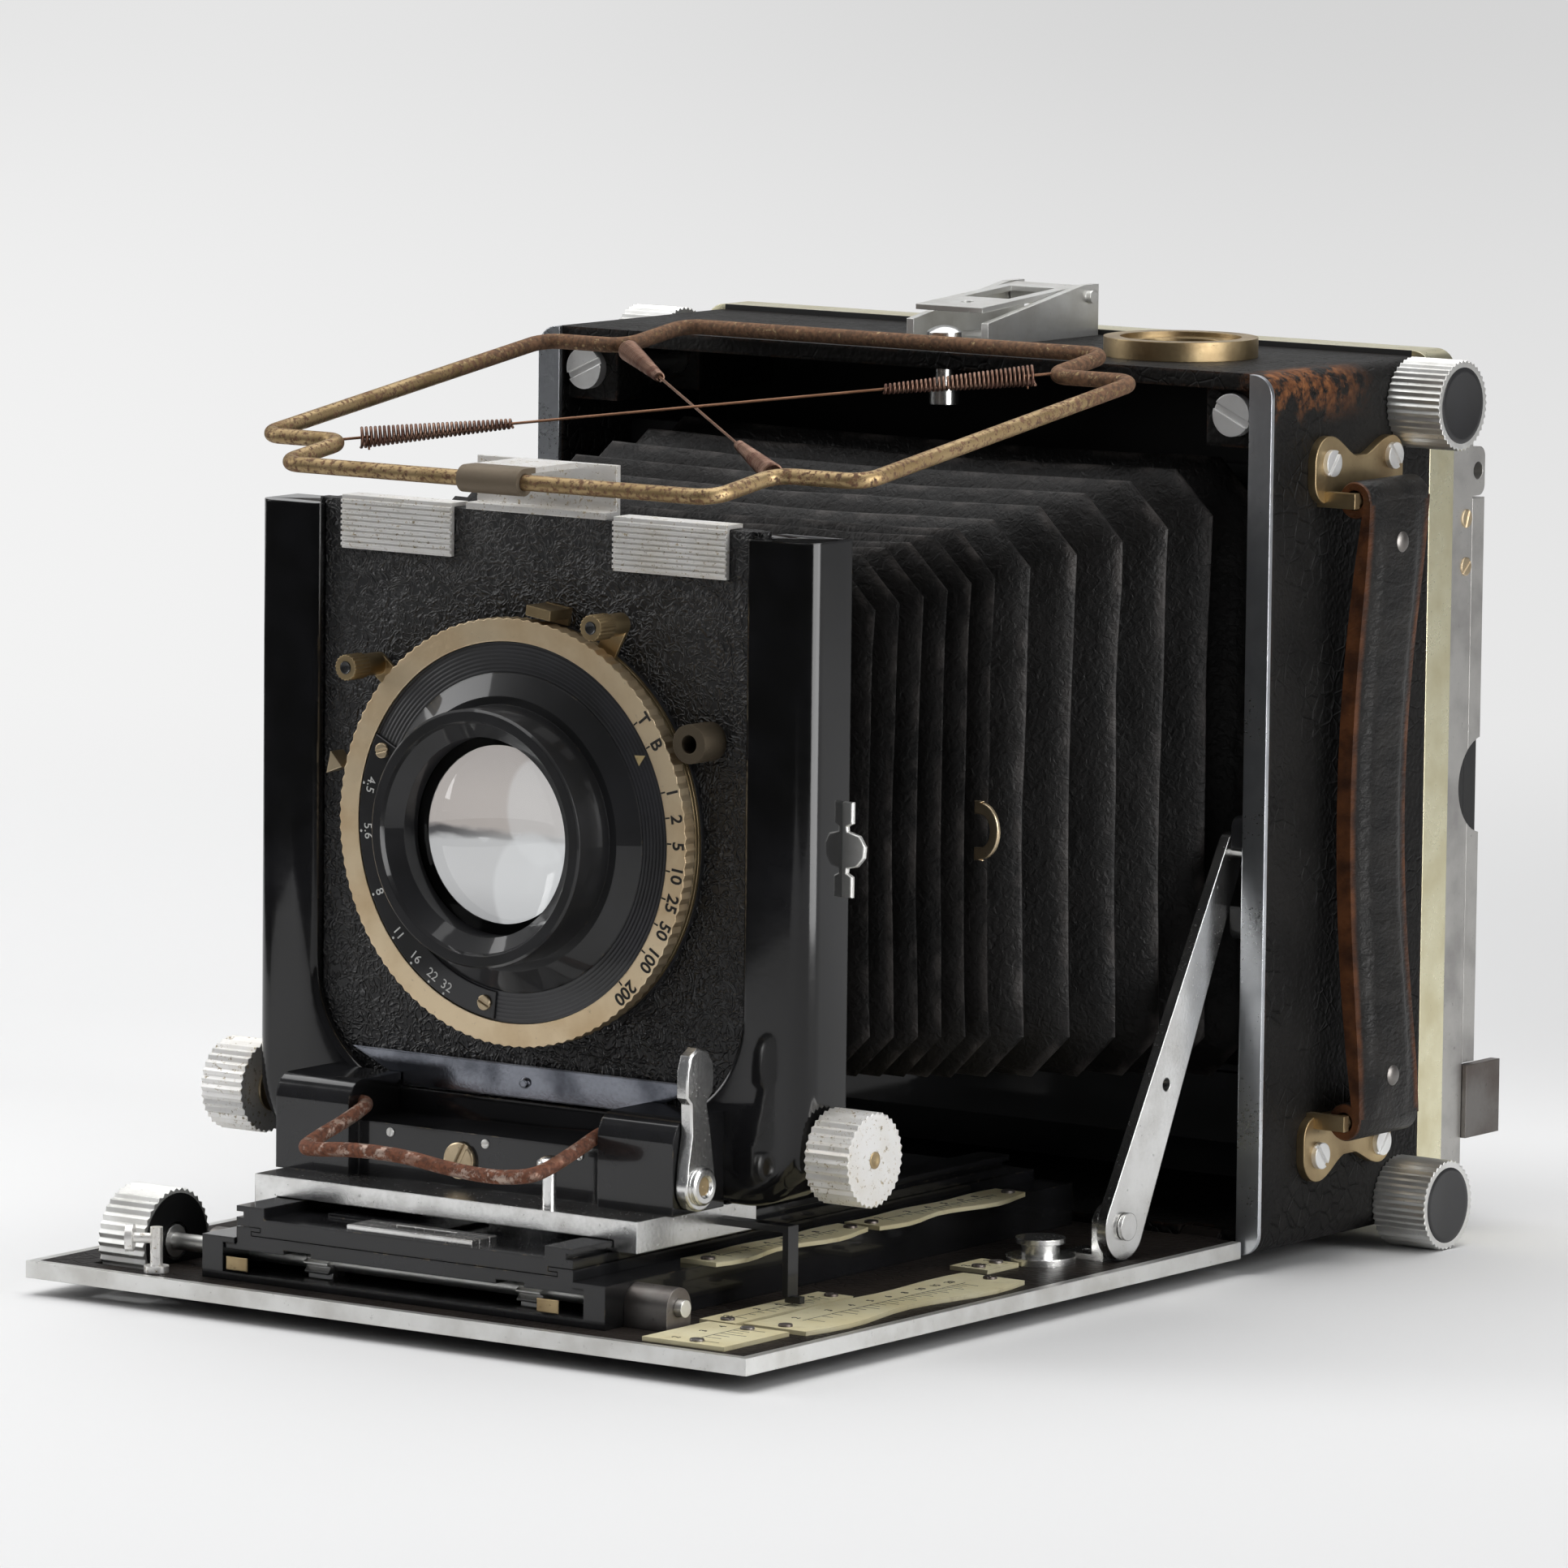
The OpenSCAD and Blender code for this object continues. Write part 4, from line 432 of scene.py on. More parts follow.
def wrinkled(name):
    """Moulded leatherette: short curved wrinkles, their tops painted paler as a painted highlight.
    """
    p = Paint(name)
    worm = 1 - (p.noise(3.4, 0.6, warp=2.4) - 0.5).math("ABSOLUTE").span(0.01, 0.09)
    finer = 1 - (p.noise(2.3, 0.5, warp=1.5) - 0.5).math("ABSOLUTE").span(0.01, 0.10)
    worm = worm * 0.6 + finer * 0.5
    # The wrinkle tops are painted paler, a painted highlight.
    colour = p.mix(worm, (0.006, 0.006, 0.0065), (0.026, 0.026, 0.027))
    roughness = p.noise(12, 3) * 0.2 + 0.36 - worm * 0.14
    return p.feed(colour, roughness, worm + p.noise(0.5, 2) * 0.08, 0.55, 0.4)


def strap_hide(name):
    """Black strap leather whose cut edges show brown; the tag is 1 on the edges."""
    p = Paint(name, shine=0.18)
    edge = p.tag().span(0.25, 0.8)
    brown = p.mottled(5, 5, (0.15, 0.055, 0.020), (0.045, 0.018, 0.009))
    black = p.mottled(7, 5, (0.010, 0.0095, 0.009), (0.022, 0.020, 0.018))
    folds = p.noise(2.2, 4, stretch=(1, 1, 2.2), warp=0.5)
    height = folds * 0.8 + p.noise(0.8, 3) * 0.4
    return p.feed(p.mix(edge, black, brown), p.noise(6, 4) * 0.25 + 0.30, height, 0.35)


PLEAT, BOARD_HIDE = pleated("bellows_leather"), wrinkled("board_leatherette")
STRAP_HIDE = strap_hide("strap_leather")
print("leathers made")

# %% [markdown]
# ## Enamel, ivory, glass
# Stove enamel on brass is deep black and glossy, and chips to the metal on its edges. The shutter's
# face is the same black with turned grooves, which a sine of the distance from the lens axis draws.
# The scales are celluloid, yellowed like old ivory.

# %% enamels and the rest
LENS_Z = 84.5  # height of the lens axis


def enamel(name, rough=0.16, chips=0.5, soft=0.5, tone=0.010, coat=0.5, grooves=False):
    p = Paint(name, shine=0.25, Coat_Roughness=0.05)
    chip = p.edges(0.5).span(0.06, 0.3) * p.noise(3, 6, rough=0.7).span(0.56, 0.64) * chips
    colour = p.mottled(14, 4, (tone,) * 3, (tone * 1.7, tone * 1.7, tone * 1.9))
    dust = p.noise(0.9, 6, rough=0.75).span(0.68, 0.8) * 0.3
    colour = p.mix(chip, p.mix(dust, colour, (0.12, 0.11, 0.10)), (0.38, 0.30, 0.19))
    height = p.noise(6, 3) * 0.5 + p.noise(0.8, 2) * 0.05
    if grooves:
        off = p.z - LENS_Z
        radius = (p.x * p.x + off * off).math("SQRT")
        band = radius.span(26.8, 27.0) * (1 - radius.span(33.1, 33.3)) * (p.y < -38.5)
        line = (radius * (2 * pi / 0.72)).math("SINE") * band
        colour = p.mix(line.span(0.55, 1.0) * 0.5, colour, (0.075, 0.076, 0.080))
        height = height + line * 0.9
    roughness = p.noise(7, 4) * 0.12 + (rough - 0.06) + chip * 0.2 + dust * 0.4
    return p.feed(colour, roughness, height, 0.05, soft, Metallic=chip * 0.9,
                  Coat_Weight=coat - chip * coat)


GLOSS = enamel("black_enamel")
COLUMN = enamel("column_enamel", 0.12, 0.7, soft=0.5, tone=0.007, coat=0.3)
FACE = enamel("shutter_enamel", 0.34, 0.1, 0.3, tone=0.020, grooves=True)
BARREL = enamel("barrel_enamel", 0.42, 0.2, 0.3)
MATT = enamel("black_matt", 0.55, 0.3, 0.3, tone=0.013)
# Near black, painted shade for the insides of holes and hollows.
HOLE_SHADE = enamel("painted_hole_shade", 0.5, 0.0, 0.1, tone=0.004)


def celluloid(name):
    p = Paint(name)
    dirt = p.noise(3, 5, rough=0.7).span(0.5, 0.8) * 0.35 + p.edges(0.3).span(0.05, 0.3) * 0.5
    colour = p.mottled(15, 3, (0.80, 0.74, 0.50), (0.72, 0.63, 0.37))
    colour = p.mix(dirt, colour, (0.34, 0.25, 0.11))
    return p.feed(colour, p.noise(4, 3) * 0.2 + 0.32, p.noise(2, 3), 0.05, 0.2)


def clear_glass(name, rough, tint):
    p = Paint(name, Transmission_Weight=1.0, IOR=1.5)
    dust = p.noise(0.5, 5, rough=0.8).span(0.66, 0.78)
    return p.feed(p.mix(dust * 0.3, tint, (0.75, 0.74, 0.70)), dust * 0.25 + rough)


def ink(name, colour):
    """Engraving filled with paint, a little rubbed."""
    p = Paint(name, shine=0.3)
    rub = p.noise(0.6, 4).span(0.55, 0.8) * 0.5
    faded = tuple(c * 0.4 + 0.03 for c in colour)
    return p.feed(p.mix(rub, colour, faded), rub * 0.3 + 0.5)


IVORY = celluloid("ivory")
LENS = clear_glass("lens_glass", 0.0, (0.97, 0.98, 0.98))
SCREEN = clear_glass("ground_glass", 0.45, (0.86, 0.88, 0.87))
BLACK_INK = ink("black_ink", (0.02, 0.018, 0.016))
WHITE_INK = ink("white_ink", (0.62, 0.62, 0.60))
GOLD_INK = ink("gold_ink", (0.52, 0.40, 0.20))
print("enamel, celluloid, glass and ink made")

# %% [markdown]
# ## Dressing the CAD nodes
# Every CAD node keeps its shape and gets the material of the piece that it is. One table does it,
# because it shows at a glance what is made of what.

# %% dress the nodes
dress = {
    HIDE: "body_shell", BED_HIDE: "bed_plate", BOARD_HIDE: "lens_board", STRAP_HIDE: "straps",
    PLEAT: "bellows", TRIM: "front_trim", RAIL: "panel_rail", PLATED: "slotted_screws",
    NICKEL: "release_button struts strut_brackets clamp_lever stop_button back_rods hinge_pins "
            "tripod_bush carriage_bar",
    SATIN: "bed_trim clamp_knob_upper_right clamp_knob_upper_left clamp_knob_lower_right "
           "clamp_knob_lower_left focus_pinion sight_base peep_leaf",
    SPOTTED: "board_clip_right board_clip_left rise_pinion focus_lock", BRACKET: "finder_bracket",
    WARM: "back_frame", GILT: "speed_ring", PALE_BRASS: "aperture_ring",
    BRASS: "accessory_ring cocking_lever release_lever strap_brackets",
    FITTINGS: "shutter_fittings",
    GLOSS: "carriage_block base_rail focus_track upper_track", COLUMN: "standard_frame",
    FACE: "shutter_case", BARREL: "lens_barrel", IVORY: "scale_plates", LENS: "lens_glass",
    MATT: "bellows_frame strut_guides light_sleeve scale_pointer", SCREEN: "focusing_screen",
    GREY: "back_plate screen_lid", STEEL: "back_latch pinion_bearings", WIRE: "wire_frame",
    COPPER: "cross_wires", RUST: "bail", SPRING: "cross_springs"}
for paint, names in dress.items():
    for name in names.split():
        for holder in nodes[name].material_slots:
            holder.material = paint
print("dressed", sum(len(n.split()) for n in dress.values()), "of", len(nodes))

# %% [markdown]
# ## Camera, floor and light
# The photograph was taken with a long lens from the front right, a little above the bed. Its place
# was solved from straight edges of the object. The floor is paper: near the object it takes light
# and shadow from the lamps on a colour painted lighter at the front and darker behind and to the
# right. Farther out it glows in a painted gradient that fades into the even tone of the backdrop,
# and in reflections it is painted black beyond its front and left edges. A card behind the object
# throws light back, and broad lamps give the soft light of a product photograph. The narrow strip
# beside the object shows only in polished faces.

# %% camera, floor and light
turn, lift, roll = (radians(a) for a in (35.34, 7.10, 0.64))
away = Vector((sin(turn) * cos(lift), -cos(turn) * cos(lift), sin(lift)))
right = Vector((0, 0, 1)).cross(away).normalized()
up = away.cross(right)
level = Matrix((right, up, away)).transposed().to_4x4() @ Matrix.Rotation(roll, 4, "Z")
eye = bpy.data.cameras.new("camera")
eye.sensor_width, eye.lens, eye.clip_end = 36, 248.69, 20
scene.camera = linked("camera", eye)
scene.camera.matrix_world = Matrix.Translation((1.11523, -1.53028, 0.32546)) @ level
scene.view_settings.view_transform = "Standard"
HORIZON = 0.80  # tone of the backdrop
TO_VIEW = Matrix.Rotation(turn, 4, "Z")  # the stage faces the camera

paper = Paint("paper", shine=0.0, Emission_Strength=1.0)
seen = paper.node("LightPath", out="Is Camera Ray")
depth = paper.y * cos(turn) - paper.x * sin(turn)
aside = paper.x * cos(turn) + paper.y * sin(turn)
reach = (depth * depth + aside * aside).math("SQRT")
far = reach.span(450, 900)
# Near the object the paper's colour is painted with light and shade: lighter at the front, darker
# behind and to the right.
near_painted_light = (0.79 + depth.span(-200, 60) * 0.04 - depth.span(80, 350) * 0.115
             - aside.span(-300, 450) * 0.09 - aside.span(0, 200) * depth.span(100, 300) * 0.055)
# Farther out the floor glows for camera rays in a painted gradient, darker towards the back and the
# right.
far_painted_glow = 0.915 - depth.span(600, 4600) * 0.13 - aside.span(-350, 350) * 0.12
far_painted_glow = far_painted_glow + reach.span(5000, 8000) * (HORIZON - far_painted_glow)
# For other rays the floor is painted black beyond its front and left edges, a painted dark
# reflection in polished faces.
reflected_floor = (depth > -620) * (1 - (aside < -430) * (depth < 1000))
shown = near_painted_light * (seen * (1 - far) + (1 - seen) * reflected_floor)
paper = paper.feed(paper.mix(shown, (0, 0, 0), (1, 1, 1)), paper.noise(300, 2) * 0.1 + 0.6,
                   Emission_Color=paper.mix(far_painted_glow * far * seen, (0, 0, 0), (1, 1, 1)))
floor = Shape()
floor.add([(x, y, 0) for x, y in rect(-9000, -9000, 9000, 9000)], [[0, 1, 2, 3]], TO_VIEW)
floor.piece("floor", paper)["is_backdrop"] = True
card = Paint("card", shine=0.2)
card = card.feed(card.mix(card.noise(300, 2), (0.90, 0.90, 0.90), (0.84, 0.84, 0.84)))
line = [*circle(900, 16, -90, 0, (1500, 900))[1:], (2400, 3200)]
wall = Shape()
wall.add([(x, d, z) for d, z in line for x in (-1500, 3500)],
         [[2 * i, 2 * i + 1, 2 * i + 3, 2 * i + 2] for i in range(len(line) - 1)], TO_VIEW)
wall = wall.piece("bounce_card", card, smooth=60)
wall.visible_camera = False
wall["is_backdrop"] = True

scene.world = bpy.data.worlds.new("room")
scene.world.use_nodes = True
sky = scene.world.node_tree
seen = new_node(sky, "ShaderNodeLightPath", {}, [])["Is Camera Ray"]
tint = new_node(sky, "ShaderNodeMix", {"data_type": "RGBA"}, [
    (0, seen), (6, (0.112, 0.114, 0.12, 1)), (7, (HORIZON, HORIZON, HORIZON, 1))])
sky.links.new(tint[2], sky.nodes["Background"].inputs[0])


def lamp(name, spot, aim, size, power):
    light = bpy.data.lights.new(name, "AREA")
    light.shape, light.size, light.size_y, light.energy = "RECTANGLE", size[0], size[1], power
    holder = linked(name, light)
    holder.visible_camera = False
    holder.location = spot
    holder.rotation_euler = (Vector(aim) - Vector(spot)).to_track_quat("-Z", "Y").to_euler()
    return holder


lamp("overhead", (-0.2, 0.3, 1.7), (0, 0.1, 0), (2.2, 2.2), 40)
lamp("left_box", (-1.6, -0.6, 0.8), (0, 0, 0.08), (0.7, 1.3), 13)
lamp("right_box", (1.7, 0.3, 0.8), (0, 0, 0.08), (0.6, 1.2), 9)
lamp("strip", (0.40, -0.02, 0.16), (0, -0.03, 0.12), (0.25, 0.30), 1.7).visible_diffuse = False
print("camera, floor, card and four lamps")

# %% [markdown]
# ## Bellows
# A bellows is one leather tube, creased over stiff card ribs so that it folds like an accordion.
# Its corners are nipped into small bevels at each ridge. Five stretches of it are cut at the places
# where the box, the bed, the tracks, the standard and the lens panel meet, and they meet in valleys.

# %% bellows
BELLOWS_Z = 88.275
FRONT_Y, WIDER_Y, BACK_Y = -22.2, 22.8, 99.3  # the folds are narrow up to the second of these


def fold_rows():
    """(y, ridge) along the tube: 0 in a valley, 1 on a ridge, with rounded creases."""
    halves = [(FRONT_Y + (WIDER_Y - FRONT_Y) * i / 14, i % 2) for i in range(14)]
    halves += [(WIDER_Y + (BACK_Y - WIDER_Y) * i / 12, i % 2) for i in range(13)]
    rows = []
    for (y0, r0), (y1, r1) in zip(halves, halves[1:]):
        for t, v in ((0, 0.0), (0.08, 0.03), (0.35, 0.33), (0.65, 0.67), (0.92, 0.97)):
            rows.append((y0 + (y1 - y0) * t, r0 + (r1 - r0) * v))
    return rows + [halves[-1]]


def fold_ring(y, ridge, inset):
    """One ring of the tube: four slack walls and four bevelled corners."""
    part = (y - FRONT_Y) / (BACK_Y - FRONT_Y)
    w = 57 + 11 * part - (1 - ridge) * 9.5 - inset
    h = 44 + 13 * part - (1 - ridge) * 7.6 - inset
    c = 3 + 5 * ridge
    corners = [(w, h - c), (w - c, h), (c - w, h), (-w, h - c)]
    corners += [(-x, -z) for x, z in corners]
    ring = []
    for k, (p, q) in enumerate(zip(corners, corners[1:] + corners[:1])):
        steps = (2, 12, 2, 10)[k % 4]
        for i in range(steps):
            t = i / steps
            x, z = p[0] + (q[0] - p[0]) * t, p[1] + (q[1] - p[1]) * t
            slack = 4 * t * (1 - t) * (0.9 if k % 2 else 0.0)
            slack += 0.45 * noise.noise(Vector((x, y * 1.6, z)) * 0.05) if 0 < part < 1 else 0.0
            if k % 4 == 3:
                x -= copysign(slack, x)
            else:
                z -= copysign(slack, z)
            ring.append((x, y, BELLOWS_Z + z))
    return ring


rows = fold_rows()
chain = ("body", "bed", "lower_track", "extension_track", "standard", "lens_panel")
meets = (BACK_Y, 73.8, WIDER_Y, -2.914, -15.771, FRONT_Y)
for one, other, start, end in zip(chain, chain[1:], meets, meets[1:]):
    cut = [r for r in rows if end - 0.02 <= r[0] <= start + 0.02]
    tube = Shape()
    skin = [fold_ring(y, r, 0) for y, r in cut]
    lining = [fold_ring(y, r, 1) for y, r in reversed(cut)]
    n = len(skin[0])
    tags = [r for _, r in cut for _ in range(n)] + [0.0] * (n * len(cut))
    tube.rings(skin + lining, loop=True, tags=tags)
    pleats = tube.piece(f"bellows_{one}", PLEAT, slot="bellows_leather", stands_for=("bellows",),
                        smooth=28)
    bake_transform(pleats)

# %% [markdown]
# ## Carrying straps
# Each strap is folded leather, stuffed a little in its middle and looped around a brass bar at each
# end: a sagging band with a crown, two loops, and a rivet that closes each loop. The cut edges are
# marked with a tag, so that the material can show their raw brown. An eared brass plate lies under
# the two screws of each bracket.

# %% straps
STRAP_Y, STRAP_Z, HALF_SPAN, BAR_X = 103.7, 82.35, 56.0, 87.4
BODY_X, SCREW_Z = 80.8, 62.4  # side of the box; bracket screws above the strap's middle
PAD = 1.3  # the padding at its thickest


def strap_line(u):
    """Inner face and thickness of the band at u, from -1 at the lower bar to 1 at the upper one."""
    return BAR_X + 1.85 - 5.2 * (1 - u * u), 1.5 + 1.9 * (1 - u ** 6)


def stuffing(v):
    """Height of the padding across the strap: full in the middle, none on the flat margins."""
    t = min(1, max(0, (0.8 - abs(v)) / 0.35))
    return t * t * (3 - 2 * t) * (1 - 0.2 * v * v)


def band(side):
    strap, rings, tags = Shape(), [], []
    across = [i / 10 - 1 for i in range(21)]
    for i in range(57):
        u = i / 28 - 1
        inner, thick = strap_line(u)
        wide = 10 - 0.9 * (1 - u * u)
        pucker = 0.16 * sin(62 * u) * (1 - u ** 4)
        outline = []
        for v in across:
            crown = (PAD * stuffing(v) - 0.25 * abs(v) ** 6) * (1 - u ** 8)
            outline.append((inner + thick + crown + pucker * stuffing(v), wide * v))
        outline += [(inner + 0.25 * abs(v) ** 6, wide * v) for v in (1, 0.5, 0, -0.5, -1)]
        rings.append([(side * x, STRAP_Y + y, STRAP_Z + HALF_SPAN * u) for x, y in outline])
        tags += [max(0, abs(v) - 0.72) / 0.28 for v in across] + [1, 0, 0, 0, 1]
    strap.rings(rings, tags=tags)
    loop = [(1.84, -9.9), (3.1, -9.9), (3.42, -9.3), (3.42, 9.3), (3.1, 9.9), (1.84, 9.9)]
    for end in (-1, 1):
        strap.turned(loop, at(side * BAR_X, STRAP_Y, STRAP_Z + end * HALF_SPAN, "y"), 28,
                     (1, 1, 0.2, 0.2, 1, 1))
    return strap


def ears(side, end, half=10.3, front=4.8, rear=3.7, dip=0.5, foot=-7.2, corner=4.0):
    """Outline of a bracket plate: an ear over each screw, a dip, and round lower corners."""
    line = circle(rear, 10, 0, 90, (half, 0))
    for u in (1 - i / 12 for i in range(1, 24)):
        rise = (rear if u > 0 else front) - dip
        line.append((half * u, dip + rise * (1 - cos(pi * u)) / 2))
    line += circle(front, 10, 90, 180, (-half, 0))
    line += circle(corner, 10, 180, 270, (corner - half - front, foot + corner))
    line += circle(corner, 10, 270, 360, (half + rear - corner, foot + corner))
    return [(side * u, end * v) for u, v in line][::side * end]


for side, word in ((1, "right"), (-1, "left")):
    plates, rivets = Shape(), Shape()
    for end in (-1, 1):
        screws = at(side * BODY_X, STRAP_Y, STRAP_Z + end * SCREW_Z, OUT[side])
        plates.plate(ears(side, end), 0.0, 1.64, screws, 0.08)
        u = end * 0.86
        x = sum(strap_line(u)) + PAD * (1 - u ** 8) - 0.25
        rivets.turned([(0.01, 0.0), (1.9, 0.0), (1.9, 0.25), (1.5, 0.62), (0.7, 0.8), (0.01, 0.82)],
                      at(side * x, STRAP_Y, STRAP_Z + HALF_SPAN * u, OUT[side]), 20)
    plates.piece(f"strap_plates_{word}", BRASS, "body", "old_brass")
    band(side).piece(f"strap_{word}", STRAP_HIDE, "body", "strap_leather", ("straps",), smooth=50)
    rivets.piece(f"strap_rivets_{word}", STEEL, "body", "dark_steel")

# %% [markdown]
# ## Copies on points
# Screws, ticks and rivets repeat, so one node tree places them all. It takes a cloud of points,
# each with a turn and a size, and puts a copy of one shape on every point. The result is kept as a
# plain mesh for each body, because a finished part shouldn't depend on a live modifier.

# %% copies on points
def geometry_tree(name, sockets):
    tree = bpy.data.node_groups.new(name, "GeometryNodeTree")
    for label, kind in sockets:
        tree.interface.new_socket(label, in_out="INPUT", socket_type=f"NodeSocket{kind}")
    tree.interface.new_socket("Copies", in_out="OUTPUT", socket_type="NodeSocketGeometry")

    def grow(kind, settings=None, **sockets):
        pairs = [(key.replace("_", " "), value) for key, value in sockets.items()]
        return new_node(tree, kind, settings, pairs)
    return tree, grow, tree.nodes.new("NodeGroupInput").outputs


def place_copies(grow, points, shape, paint):
    """The shared end of each tree: copies with their turn and size, made real and painted."""
    spin, size = (grow("GeometryNodeInputNamedAttribute", {"data_type": "FLOAT_VECTOR"}, Name=name)
                  for name in ("turn", "size"))
    on = grow("GeometryNodeInstanceOnPoints", Points=points, Instance=shape,
              Rotation=spin["Attribute"], Scale=size["Attribute"])
    real = grow("GeometryNodeRealizeInstances", Geometry=on["Instances"])
    shown = grow("GeometryNodeSetMaterial", Geometry=real["Geometry"], Material=paint)
    grow("NodeGroupOutput", Copies=shown["Geometry"])


COPIES, grow, given = geometry_tree("copies", [
    ("Points", "Geometry"), ("Shape", "Object"), ("Paint", "Material")])
model = grow("GeometryNodeObjectInfo", Object=given["Shape"])
place_copies(grow, given["Points"], model["Geometry"], given["Paint"])


def frozen(thing):
    """The mesh that an object shows; the object itself goes."""
    shown = thing.evaluated_get(bpy.context.evaluated_depsgraph_get())
    mesh = bpy.data.meshes.new_from_object(shown)
    bpy.data.objects.remove(thing)
    return mesh


def baked(name, tree, spots, **values):
    """Runs a tree on a cloud of places in millimetres and returns the plain mesh."""
    cloud = bpy.data.meshes.new(name)
    cloud.from_pydata([s.to_translation() * MM for s in spots], [], [])
    for key, read in (("turn", Matrix.to_euler), ("size", Matrix.to_scale)):
        held = cloud.attributes.new(key, "FLOAT_VECTOR", "POINT")
        held.data.foreach_set("vector", [v for spot in spots for v in read(spot)])
    host = linked(name, cloud)
    live = host.modifiers.new("copies", "NODES")
    live.node_group = tree
    for item in tree.interface.items_tree:
        if item.in_out == "INPUT" and item.name in values:
            live[item.identifier] = values[item.name]
    return frozen(host)


def copies(name, spots, shape, paint, body):
    model = linked("shape", shape.mesh("shape"))
    mesh = baked(name, COPIES, spots, Shape=model, Paint=paint)
    bpy.data.objects.remove(model)
    return finished(name, mesh, paint, body)


def sized(place, x, y=None, z=None):
    """A place with a size along each axis, or one size for all three."""
    return place @ Matrix.Diagonal((x, y or x, z or x, 1))


half = circle(1.0, 14, 8, 172)
SCREW = Shape().plate(circle(1.0, 28), 0, 0.2)
SCREW.plate(half, 0.2, 0.42, edge=0.08).plate([(-x, -y) for x, y in half], 0.2, 0.42, edge=0.08)
TICK = Shape().plate(rect(-0.5, -0.5, 0.5, 0.5), -0.5, 0.5)
print("tree with", len(COPIES.nodes), "nodes")

# %% [markdown]
# ## Springs of the wire finder
# The two cross wires are kept taut by four conical springs, one in each inner corner of the frame.
# A spiral curve with a small round profile is exactly how a spring is wound.

# %% springs
SPRINGS, grow, given = geometry_tree("springs", [
    ("Points", "Geometry"), ("Curls", "Float"), ("Wide", "Float"), ("Narrow", "Float"),
    ("Length", "Float"), ("Wire", "Float"), ("Paint", "Material")])
coil = grow("GeometryNodeCurveSpiral", Resolution=16, Rotations=given["Curls"],
            Start_Radius=given["Wide"], End_Radius=given["Narrow"], Height=given["Length"])
profile = grow("GeometryNodeCurvePrimitiveCircle", Resolution=7, Radius=given["Wire"])
wound = grow("GeometryNodeCurveToMesh", Curve=coil["Curve"], Profile_Curve=profile["Curve"],
             Fill_Caps=True)
smooth = grow("GeometryNodeSetShadeSmooth", Geometry=wound["Mesh"])
place_copies(grow, given["Points"], smooth["Geometry"], given["Paint"])

FINDER = Matrix.Translation((0, -44.75, 146.3)) @ Matrix.Rotation(radians(7.98), 4, "X")
WIRE_X, WIRE_LOW, WIRE_HIGH = 46.5, 18.5, 102.5  # where the cross wires meet the frame
APART, GAP = 0.4, 2.6  # half the step between the wires; from the frame to a spring
spots = []
for x, y, z in ((-WIRE_X, WIRE_LOW, APART), (WIRE_X, WIRE_HIGH, APART),
                (WIRE_X, WIRE_LOW, -APART), (-WIRE_X, WIRE_HIGH, -APART)):
    aim = atan2((WIRE_LOW + WIRE_HIGH) / 2 - y, -x)  # towards the crossing of the wires
    level = Matrix.Rotation(aim, 4, "Z") @ Matrix.Rotation(pi / 2, 4, "Y")
    spots.append(FINDER @ Matrix.Translation((x, y, z)) @ level @ Matrix.Translation((0, 0, GAP)))
mesh = baked("finder_springs", SPRINGS, spots, Curls=34.0, Wide=1.75 * MM, Narrow=0.7 * MM,
             Length=27 * MM, Wire=0.27 * MM, Paint=SPRING)
finished("finder_springs", mesh, SPRING, "finder", ("cross_springs",))

# %% [markdown]
# ## Wire bail
# The bail pulls the standard out. Years of pulling have bent it into a wave and taken off its
# plating, so it is a wavy wire with the rusty metal.

# %% bail
def smooth_line(points, steps=8):
    """A curve through all the points (Catmull-Rom)."""
    points = [Vector(p) for p in points]
    padded = [2 * points[0] - points[1], *points, 2 * points[-1] - points[-2]]
    line = []
    for a, b, c, d in zip(padded, padded[1:], padded[2:], padded[3:]):
        for i in range(steps):
            t = i / steps
            line.append(0.5 * (2 * b + (c - a) * t + (2 * a - 5 * b + 4 * c - d) * t * t
                               + (3 * b - a - 3 * c + d) * t ** 3))
    return line + [points[-1]]


grip = [(-30.3, 0, 0), (-27.4, 0, 0), (-25.5, -1.3, 0), (-25.2, -8, 0), (-25.6, -15, 0.1),
        (-25, -19.4, 0.3), (-21.5, -21, 0.9), (-13, -20.7, 1.5), (-3, -20.6, 1.4), (6, -20.9, 0.5),
        (13, -21.2, 0.1), (19, -21.3, 0.2), (24, -20, 0.5), (25.2, -16, 0.3), (25.3, -8, 0),
        (25.5, -1.3, 0), (27.4, 0, 0), (30.3, 0, 0)]
tilt = Matrix.Translation((0, -45.7, 35.5)) @ Matrix.Rotation(radians(17), 4, "X")
bail = Shape().wire(smooth_line(grip), 1.28, 12, tilt)
bail.piece("bail_wire", RUST, "draw_bail", "rusty_wire", ("bail",))

# %% [markdown]
# ## Figures
# The shutter's speeds and apertures are plain numbers. Blender's text is turned into a mesh before
# it is placed, so that it lies on the ring like any other piece and turns with it.

# %% figures
FIGURE = 0.7  # height of a figure in a font of size 1
RING_FACE, PLATE_FACE = 39.16, 39.27  # faces of the speed ring and the aperture plate


def lettering(name, entries, paint, body, bold=0.0):
    """entries: (text, place in millimetres, height of a figure)."""
    whole = bmesh.new()
    for text, place, height in entries:
        curve = bpy.data.curves.new("figure", "FONT")
        curve.body, curve.align_x, curve.align_y, curve.resolution_u = text, "CENTER", "CENTER", 3
        curve.extrude, curve.offset = 0.02, bold
        mesh = frozen(linked("figure", curve))
        mesh.transform(Matrix.Scale(MM, 4) @ place @ Matrix.Scale(height / FIGURE, 4))
        whole.from_mesh(mesh)
    mesh = bpy.data.meshes.new(name)
    whole.to_mesh(mesh)
    whole.free()
    return finished(name, mesh, paint, body)


def on_lens(angle, radius, ahead, upright=0.0):
    """A place on the shutter: angle from the right, radius, distance in front of the origin."""
    a = radians(angle)
    return at(radius * cos(a), -ahead, LENS_Z + radius * sin(a), "-y", angle + upright)


